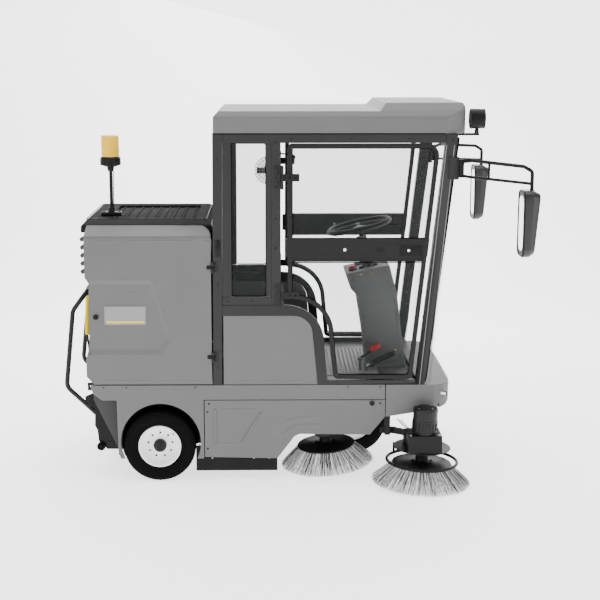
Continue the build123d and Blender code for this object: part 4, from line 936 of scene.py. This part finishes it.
STEER_UP = (-math.sin(STEER_TILT), 0, math.cos(STEER_TILT))
bm = bmesh.new()
rim_points = [at_wheel(171 * math.cos(2 * math.pi * k / 120), 171 * math.sin(2 * math.pi * k / 120), 0)
              for k in range(120)]
add_tube(bm, rim_points, 13.2, 20, closed=True)
for a in circle(60):
    ring = []
    for j in range(12):
        b = math.radians(-150 + j * 300 / 11)
        ring.append(at_wheel((171 - 13.4 * math.cos(b)) * math.cos(a), (171 - 13.4 * math.cos(b)) * math.sin(a),
                             13.4 * math.sin(b)))
    add_tube(bm, ring, 0.9, 6)
for angle in (90, 210, 330):
    turn = steer_turn @ Matrix.Rotation(math.radians(angle), 4, "Z")
    add_box(bm, (20, -11, -20), (92, 11, -10), turn, 3.5, 3)
    add_box(bm, (84, -10, -14), (166, 10, -4), turn, 3.5, 3)
    add_box(bm, (40, -4, -11), (140, 4, -4.5), turn, 1.5, 2)
add_lathe(bm, [(0, -26), (30, -25), (34, -20), (34, -10), (30, -6), (22, -4), (10, -3), (0, -3)],
          (386, 0, 1297), STEER_UP, 48)
put("steering_wheel_rim", bm, BLACK, "steering", ("steering_wheel",), angle=40)
bm = bmesh.new()
add_lathe(bm, [(0, -235), (11.8, -235), (11.8, -30), (0, -30)], (386, 0, 1297), STEER_UP, 28)
put("steering_shaft", bm, DARK_STEEL, "steering")
bm = bmesh.new()
bellows = [(12.6, -210)]
for k in range(10):
    bellows += [(31 - k, -206 + k * 14), (23 - k * 0.8, -199 + k * 14)]
bellows += [(17, -66), (12.6, -66)]
add_lathe(bm, bellows, (386, 0, 1297), STEER_UP, 40)
put("steering_boot", bm, DEEP, "chassis")

# ------------------------------------------------------------------ pedals
polished("brake_pedal", [DARK_STEEL, RED], width=0.0015, segments=2, angle=24,
         pick=lambda c, n: 1 if c.x > 0.434 and c.z > 0.6285 else 0)
bm = bmesh.new()
for k in range(5):
    t = 0.14 + 0.18 * k
    x, z = 436 + 50 * t, 648 + 28 * t
    turn = placed(x, -200, z, -math.atan2(28, 50), "Y")
    add_box(bm, (-2.6, -17, -1), (2.6, 17, 1.8), turn, 1, 2)
put("brake_pad_ribs", bm, RED, "brake")
polished("accelerator_pedal", [BLACK], width=0.0012, segments=2)
bm = bmesh.new()
for k in range(10):
    t = 0.08 + 0.092 * k
    x, z = 417 + 155 * t, 553 + 74 * t
    turn = placed(x, -200, z, -math.atan2(74, 155), "Y")
    add_box(bm, (-2.4, -28, -1), (2.4, 28, 1.6), turn, 0.9, 2)
turn = placed(496, -200, 583, -math.atan2(74, 155), "Y")
add_box(bm, (-68, -30, -7), (76, 30, 4), turn, 2, 2)
put("accelerator_ribs", bm, RUBBER, "throttle")

# ------------------------------------------------------------------ seat
polished("seat_pedestal", [BLACK], width=0.004, segments=3)
bm = bmesh.new()
for side in (-1, 1):
    y = side * 190
    for z in (560, 600, 640):
        add_ridge(bm, between((-300, z), (40, z), 16), 4, 1.6, y, side, 0, 2)
    for x in (-290, 30):
        for z in (545, 645):
            add_bolt(bm, (x, y, z), (0, side, 0), 5.5, 4)
put("pedestal_ribs", bm, BLACK, "chassis")
bm = bmesh.new()
for y in (-200, 200):
    for x in (-290, -200, 0, 30):
        add_bolt(bm, (x, math.copysign(210, y), 666), (0, math.copysign(1, y), 0), 4, 3)
put("seat_rail_bolts", bm, STEEL, "chassis")


def stuffed(name, node, low, high, radius, cap, seams, channels):
    """Cushion swollen by a cloth simulation from a slightly smaller block, then piped and stitched."""
    bm = bmesh.new()
    add_box(bm, low, high, None, radius, 5)
    mesh = bpy.data.meshes.new(name)
    bm.to_mesh(mesh)
    bm.free()
    pad = bpy.data.objects.new(name, mesh)
    bpy.context.scene.collection.objects.link(pad)
    remesh = pad.modifiers.new("Remesh", "REMESH")
    remesh.mode = "VOXEL"
    remesh.voxel_size = 0.006
    depsgraph = bpy.context.evaluated_depsgraph_get()
    pad.data = bpy.data.meshes.new_from_object(pad.evaluated_get(depsgraph))
    pad.modifiers.clear()
    start = [v.co.copy() for v in pad.data.vertices]
    box_low, box_high = Vector(mm(*low)), Vector(mm(*high))
    held = pad.vertex_groups.new(name="held")
    held.add([i for i, c in enumerate(start) if c.z < box_low.z + 0.004], 1.0, "REPLACE")
    cloth = pad.modifiers.new("Cloth", "CLOTH")
    cloth.settings.quality = 4
    cloth.settings.mass = 0.3
    cloth.settings.tension_stiffness = 12
    cloth.settings.compression_stiffness = 12
    cloth.settings.bending_stiffness = 0.6
    cloth.settings.use_pressure = True
    cloth.settings.uniform_pressure_force = 4
    cloth.settings.vertex_group_mass = "held"
    cloth.settings.effector_weights.gravity = 0
    for frame_number in range(1, 21):
        bpy.context.scene.frame_set(frame_number)
    depsgraph = bpy.context.evaluated_depsgraph_get()
    moved = [v.co.copy() for v in pad.evaluated_get(depsgraph).to_mesh().vertices]
    pad.modifiers.clear()
    pad.vertex_groups.clear()
    bpy.context.scene.frame_set(1)
    for vertex, begin, end in zip(pad.data.vertices, start, moved):
        step = end - begin
        if step.length > cap:
            step = step.normalized() * cap
        vertex.co = begin + step
    # sewn channels pressed into the top
    centre = (box_low + box_high) / 2
    for vertex in pad.data.vertices:
        co = vertex.co
        if co.z > centre.z:
            for axis, at in channels:
                offset = co[axis] - at
                co.z -= 0.006 * math.exp(-(offset / 0.007) ** 2)
    division = pad.modifiers.new("Smooth", "SUBSURF")
    division.levels = 1
    division.render_levels = 1
    pad.data.materials.clear()
    pad.data.materials.append(VINYL)
    pad.data.shade_smooth()
    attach(pad, BODY_OF[node])
    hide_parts(node)
    bm = bmesh.new()
    for loop in seams:
        add_tube(bm, loop, 2.4, 8, closed=True)
    put(f"{name}_piping", bm, VINYL_SIDE, BODY_OF[node])
    return pad


def loop_xy(x0, x1, y, z, radius):
    return [(p.x, p.y, z) for p in rounded([(x0, -y), (x1, -y), (x1, y), (x0, y)], radius, 8)]


stuffed("seat_cushion_pad", "seat_cushion", (-318, -207, 676), (88, 207, 752), 24, 0.012,
        [loop_xy(-327, 97, 214, 738, 40), loop_xy(-327, 97, 214, 686, 40)], [(0, -0.19), (0, -0.03), (1, -0.12),
                                                                           (1, 0.12)])
back_loop = [(-326, p.x, p.y) for p in rounded([(-196, 700), (196, 700), (196, 842), (-196, 842)], 24, 8)]
stuffed("seat_backrest_pad", "seat_backrest", (-350, -198, 765), (-300, 198, 842), 18, 0.006, [back_loop], [(1, 0.0)])
bm = bmesh.new()
add_box(bm, (-356, -203, 690), (-333, 203, 790), None, 6, 3)
put("seat_back_shell", bm, BLACK, BODY_OF["seat_backrest"])

# ------------------------------------------------------------------ brushes
def add_bristle(bm, root, tip, sag, thick, index):
    """One bristle as a bent, tapering three-sided rod."""
    a, b = Vector(root), Vector(tip)
    middle = (a + b) / 2 + Vector(sag)
    rings = []
    for t, width in ((0.0, thick), (0.5, thick * 0.9), (1.0, thick * 0.55)):
        p = a * (1 - t) ** 2 + middle * 2 * t * (1 - t) + b * t ** 2
        d = ((middle - a) * (1 - t) + (b - middle) * t).normalized()
        u, w = basis(d)
        rings.append([bm.verts.new((p + (u * math.cos(2.0944 * k) + w * math.sin(2.0944 * k)) * width) / 1000)
                      for k in range(3)])
    for low, high in zip(rings, rings[1:]):
        for k in range(3):
            bm.faces.new((low[k], low[(k + 1) % 3], high[(k + 1) % 3], high[k])).material_index = index
    for ring in (rings[0], rings[-1]):
        bm.faces.new(ring).material_index = index


def side_brush(name, body, tips, axis, tip_radius, seed):
    """Round side brush: plate, hub with bolts, and tufts of splayed bristles."""
    rng = random.Random(seed)
    d = Vector(axis).normalized()
    u, w = basis(d)
    tips = Vector(tips)
    bm = bmesh.new()
    add_lathe(bm, [(8.3, 97), (150, 97), (155, 100), (155, 104), (150, 106), (64, 112), (60, 114), (34, 118),
                   (32, 122), (32, 147), (28, 150), (8.3, 150)], tuple(tips), tuple(d), 72)
    for a in circle(6):
        at = tips + (u * math.cos(a) + w * math.sin(a)) * 48 + d * 115
        add_bolt(bm, tuple(at), tuple(d), 5.5, 5)
    for a in circle(24):
        at = tips + (u * math.cos(a) + w * math.sin(a)) * 128 + d * 105.4
        add_lathe(bm, [(0, 0), (7, 0), (6, 2), (0, 2.4)], tuple(at), tuple(d), 12)
    put(f"{name}_plate", bm, BLACK, body, (name,))
    bm = bmesh.new()
    for radius, count, reach in ((146, 900, 1.0), (124, 620, 0.97), (96, 360, 0.9)):
        for k in range(count):
            a0 = 2 * math.pi * (k + rng.uniform(-0.4, 0.4)) / count
            draw = rng.random()
            index = 2 if draw < 0.34 else (1 if draw < 0.6 else 0)
            a1 = a0 + rng.uniform(-0.02, 0.02)
            side0 = u * math.cos(a0) + w * math.sin(a0)
            side1 = u * math.cos(a1) + w * math.sin(a1)
            root = tips + side0 * (radius + rng.uniform(-5, 5)) + d * 98
            tip = tips + side1 * tip_radius * reach * rng.uniform(0.965, 1.0) + d * rng.uniform(1.5, 6)
            add_bristle(bm, root, tip, side0 * 8 - d * 4, 1.05, index)
    put(f"{name}_bristles", bm, [WHITE_BRISTLE, GREY_BRISTLE, DARK_BRISTLE], body, angle=60)


front_tilt = math.radians(2)
front_axis = (math.sin(front_tilt), 0, math.cos(front_tilt))
front_tips = Vector((685, -566, 10.5))
mid_pitch, mid_roll = math.radians(5), math.radians(2)
mid_axis = (-math.sin(mid_pitch), -math.sin(mid_roll), math.cos(mid_pitch) * math.cos(mid_roll))
mid_tips = Vector((202, -362, 56))
side_brush("front_brush_head", "front_head", front_tips, front_axis, 261, 11)
side_brush("mid_brush_head", "mid_head", mid_tips, mid_axis, 250, 12)

bm = bmesh.new()
add_lathe(bm, [(20, -352), (20, -330), (62, -330), (66, -326), (66, 326), (62, 330), (20, 330), (20, 352), (8, 352),
               (8, -352)], (-250, 0, 152), (0, 1, 0), 56)
put("roller_core", bm, BLACK, "roller", ("main_roller",))
rng = random.Random(13)
bm = bmesh.new()
for row in range(14):
    for k in range(46):
        y = -318 + 636 * k / 45
        a = 2 * math.pi * row / 14 + 0.9 * k / 45
        index = 2 if row % 7 == 0 else (1 if rng.random() < 0.3 else 0)
        for _ in range(3):
            b, c = a + rng.uniform(-0.03, 0.03), a + rng.uniform(-0.07, 0.07)
            y0, y1 = y + rng.uniform(-4, 4), y + rng.uniform(-8, 8)
            root = Vector((-250 + 62 * math.cos(b), y0, 152 + 62 * math.sin(b)))
            tip = Vector((-250 + 146 * math.cos(c), y1, 152 + 146 * math.sin(c)))
            add_bristle(bm, root, tip, (0, 0, 0), 1.9, index)
put("roller_bristles", bm, [WHITE_BRISTLE, GREY_BRISTLE, DARK_BRISTLE], "roller", angle=60)


def near_axis(c, origin, axis, radius):
    """True if a face centre lies within a radius of a line."""
    offset = Vector(c) * 1000 - Vector(origin)
    d = Vector(axis).normalized()
    return (offset - d * offset.dot(d)).length < radius


motor_foot = Vector((697, -594, 283))
polished("front_brush_arm", [BLACK, MOTOR], width=0.0016, segments=2, angle=24,
         pick=lambda c, n: 1 if c.z > 0.286 and near_axis(c, motor_foot, front_axis, 68) else 0)
bm = bmesh.new()
for h in (8, 70, 122):
    add_lathe(bm, [(63.6, h), (65.6, h + 1), (65.6, h + 5), (63.6, h + 6)], tuple(motor_foot), front_axis, 56)
for a in circle(20):
    turn = Matrix.Translation(motor_foot / 1000) @ Matrix.Rotation(front_tilt, 4, "Y") @ Matrix.Rotation(a, 4, "Z")
    add_box(bm, (63, -1.6, 18), (67, 1.6, 64), turn, 0.8, 2)
add_lathe(bm, [(0, 138), (40, 138), (38, 143), (14, 146), (0, 146)], tuple(motor_foot), front_axis, 40)
put("front_motor_details", bm, MOTOR, "front_arm")
bm = bmesh.new()
for x, y in ((620, -651), (768, -651), (620, -519), (768, -519)):
    add_bolt(bm, (x, y, 284), (0, 0, 1), 7, 6)
for k in range(4):
    a = math.radians(45 + 90 * k)
    add_bolt(bm, tuple(motor_foot + Vector((48 * math.cos(a), 48 * math.sin(a), 138))), front_axis, 4.5, 4)
add_bolt(bm, (514, -436, 257), (0, 1, 0), 9, 6)
for start, end in (((566, -472, 326), (628, -500, 258)), ((584, -478, 322), (642, -508, 256))):
    add_tube(bm, [start, end], 3.2, 10)
put("front_arm_fittings", bm, STEEL, "front_arm")
motor_foot_mid = mid_tips + Vector(mid_axis) * 158
polished("mid_brush_arm", [BLACK, MOTOR], width=0.0016, segments=2, angle=24,
         pick=lambda c, n: 1 if near_axis(c, mid_tips, mid_axis, 60) and c.z > 0.2 else 0)
bm = bmesh.new()
for h in (10, 62, 118):
    add_lathe(bm, [(57.4, h), (59.4, h + 1), (59.4, h + 5), (57.4, h + 6)], tuple(motor_foot_mid), mid_axis, 56)
put("mid_motor_bands", bm, MOTOR, "mid_arm")

# ------------------------------------------------------------------ waste container, handle and lever
polished("waste_container", [BLACK], width=0.0025, segments=3)
bm = bmesh.new()
for side in (-1, 1):
    y = side * 350
    add_ridge(bm, between((-1030, 400), (-540, 400), 30), 6, 2.2, y, side, 0, 2)
    add_ridge(bm, between((-1010, 165), (-560, 165), 26), 6, 2.0, y, side, 0, 2)
    for x in (-980, -860, -740, -620):
        add_ridge(bm, between((x, 185), (x, 385), 12), 5, 2.0, y, side, 0, 2)
    for z in (372, 408):
        add_bolt(bm, (-1080, side * 342, z), (0, side, 0), 6, 4)
put("container_ribs", bm, BLACK, "container")
bm = bmesh.new()
for side in (-1, 1):
    section = [(5.05, 352), (18, 352), (21, 353), (23, 355), (23, 363), (21, 365), (18, 366), (5.05, 366)]
    add_lathe(bm, [(r, side * h) for r, h in section], (-1022, 0, 143), (0, 1, 0), 48)
put("container_rollers_turned", bm, RUBBER, "container_wheels", ("container_rollers",))
polished("container_handle", [FRAME], width=0)
bm = bmesh.new()
add_tube(bm, [(-1084, -230, 985), (-1084, 230, 985)], 14.6, 24)
for k in range(22):
    y = -222 + 444 * k / 21
    add_lathe(bm, [(14.2, -3), (15.8, -1.6), (15.8, 1.6), (14.2, 3)], (-1084, y, 985), (0, 1, 0), 28)
put("handle_grip", bm, RUBBER, BODY_OF["container_handle"])
polished("release_lever", [DARK_STEEL, YELLOW], width=0.0008, segments=2, angle=24,
         pick=lambda c, n: 1 if c.z > 0.727 else 0)
lever_y = sum(v.co.y for v in NODES["release_lever"].data.vertices) / len(NODES["release_lever"].data.vertices) * 1000
bm = bmesh.new()
for k in range(14):
    t = 0.06 + 0.066 * k
    add_lathe(bm, [(10.6, -2), (12.2, -1), (12.2, 1), (10.6, 2)], (-1103 + 7 * t, lever_y, 728 + 213 * t),
              (7, 0, 213), 24)
put("lever_grip_rings", bm, YELLOW, "lever")

# ------------------------------------------------------------------ mirrors, work lights and wiper
MIRROR_X, MIRROR_Z, MIRROR_TOP = 1136, 1405, 1.57  # rear face and middle in millimetres, top in metres

for name, side in SIDES.items():
    letter = name[0]
    polished(f"mirror_arm_{name}", [BLACK], width=0.0006, segments=2)
    head = polished(f"mirror_head_{name}", [SHELL], width=0.004, segments=3, angle=24)
    for vertex in head.data.vertices:
        low_share = min(1.0, max(0.0, (MIRROR_TOP - vertex.co.z) / 0.33))
        vertex.co.x = MIRROR_X / 1000 + (vertex.co.x - MIRROR_X / 1000) * (1 - 0.34 * low_share ** 1.5)
    y = side * 747

    def face_back(a, depth, b, middle=y):
        """Outline across the machine, depth measured towards the rear of the mirror."""
        return Vector(((MIRROR_X - depth) / 1000, (middle + a) / 1000, (MIRROR_Z + b) / 1000))

    outline = rounded([(-80, -165), (80, -165), (80, 165), (-80, 165)], 46, 8)
    inner = rounded([(-54, -136), (54, -136), (54, 136), (-54, 136)], 48, 8)
    bm = bmesh.new()
    add_plate(bm, inner, 2.2, 3.4, 0, 0.4, face_back)
    put(f"mirror_glass_{name}", bm, MIRROR, f"mirror_{letter}")
    bm = bmesh.new()
    add_plate(bm, outline, -2.0, 2.4, 0, 1.2, face_back)
    add_tube(bm, [tuple(face_back(p.x * 0.96, 2.4, p.y * 0.975) * 1000) for p in outline], 3.6, 8, closed=True)
    add_lathe(bm, [(7.4, 1556), (15, 1556), (15, 1566), (12, 1570), (7.4, 1570)], (1180, side * 747, 0), (0, 0, 1), 24)
    put(f"mirror_rim_{name}", bm, BLACK, f"mirror_{letter}")
    polished(f"work_light_{name}", [BLACK], width=0.002, segments=3, angle=24)
    ly = side * 420
    bm = bmesh.new()
    add_box(bm, (938, ly - 8.5, 1856), (970, ly + 8.5, 1872), None, 3, 3)
    add_lathe(bm, [(42, 68), (50.5, 68), (51.5, 71), (50.5, 74), (46, 75), (42, 73)], (918, ly, 1902), (1, 0, 0), 56)
    for h in (6, 16, 26, 36):
        add_lathe(bm, [(49.4, h), (52, h + 1), (52, h + 4), (49.4, h + 5)], (918, ly, 1902), (1, 0, 0), 56)
    put(f"work_light_bezel_{name}", bm, BLACK, f"light_{letter}")
    bm = bmesh.new()
    add_lathe(bm, [(0, 70.2), (43.6, 70.2), (43.6, 72), (30, 74), (14, 75.2), (0, 75.6)], (918, ly, 1902), (1, 0, 0),
              56)
    put(f"work_light_lens_{name}", bm, LENS, f"light_{letter}")
    bm = bmesh.new()
    add_bolt(bm, (954, ly + side * 9, 1861), (0, side, 0), 5, 4)
    put(f"work_light_bolt_{name}", bm, STEEL, f"light_{letter}")

polished("wiper", [BLACK], width=0.0008, segments=2)
wiper_normal = Vector((0.9958, 0, -0.0917))
bm = bmesh.new()
add_bolt(bm, tuple(Vector((760, -60, 790)) + wiper_normal * 22), tuple(wiper_normal), 8, 6)
for k in range(5):
    z = 930 + 78 * k
    x = 781 + 34 * (z - 900) / 390
    at = Vector((x, -60, z)) + wiper_normal * 5
    add_box(bm, (-4, -7, -6), (4, 7, 6), Matrix.Translation(at / 1000), 1.4, 2)
put("wiper_fittings", bm, BLACK, "wiper_arm")

# ------------------------------------------------------------------ cab fan on the far rear pillar
fan = Vector((-115, 430, 1563))
bm = bmesh.new()
for radius, depth in ((78, 0), (66, -12), (50, -19), (34, -23), (78, 26), (60, 34), (38, 38)):
    ring = [tuple(fan + Vector((radius * math.cos(2 * math.pi * k / 48), depth, radius * math.sin(2 * math.pi * k / 48))))
            for k in range(48)]
    add_tube(bm, ring, 1.5, 6, closed=True)
for a in circle(24):
    out = Vector((math.cos(a), 0, math.sin(a)))
    add_tube(bm, [tuple(fan + out * 20 + Vector((0, -25, 0))), tuple(fan + out * 50 + Vector((0, -19, 0))),
                  tuple(fan + out * 78), tuple(fan + out * 78 + Vector((0, 26, 0))),
                  tuple(fan + out * 38 + Vector((0, 38, 0)))], 1.1, 6)
put("fan_guard", bm, STEEL, "chassis")
bm = bmesh.new()
add_lathe(bm, [(0, -26), (20, -25), (23, -22), (23, -18), (0, -18)], tuple(fan), (0, 1, 0), 32)
add_lathe(bm, [(0, -10), (14, -10), (16, 6), (28, 10), (28, 50), (22, 56), (0, 56)], tuple(fan), (0, 1, 0), 32)
for k in range(4):
    turn = (Matrix.Translation(fan / 1000) @ Matrix.Rotation(math.radians(90 * k), 4, "Y")
            @ Matrix.Rotation(math.radians(24), 4, "X"))
    add_box(bm, (14, -1.4, -18), (68, 1.4, 18), turn, 1, 2)
add_tube(bm, [tuple(fan + Vector((0, 50, 0))), tuple(fan + Vector((30, 72, 20))), tuple(fan + Vector((30, 78, 40)))],
         7, 12)
add_lathe(bm, [(0, 0), (13, 0), (15, 4), (15, 12), (12, 16), (0, 16)], (29, 424, 1641), (0, -1, 0), 28)
add_tube(bm, [(29, 424, 1641), (10, 470, 1652), (-40, 500, 1656)], 5, 10)
put("fan_hub", bm, BLACK, "chassis")


low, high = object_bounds()
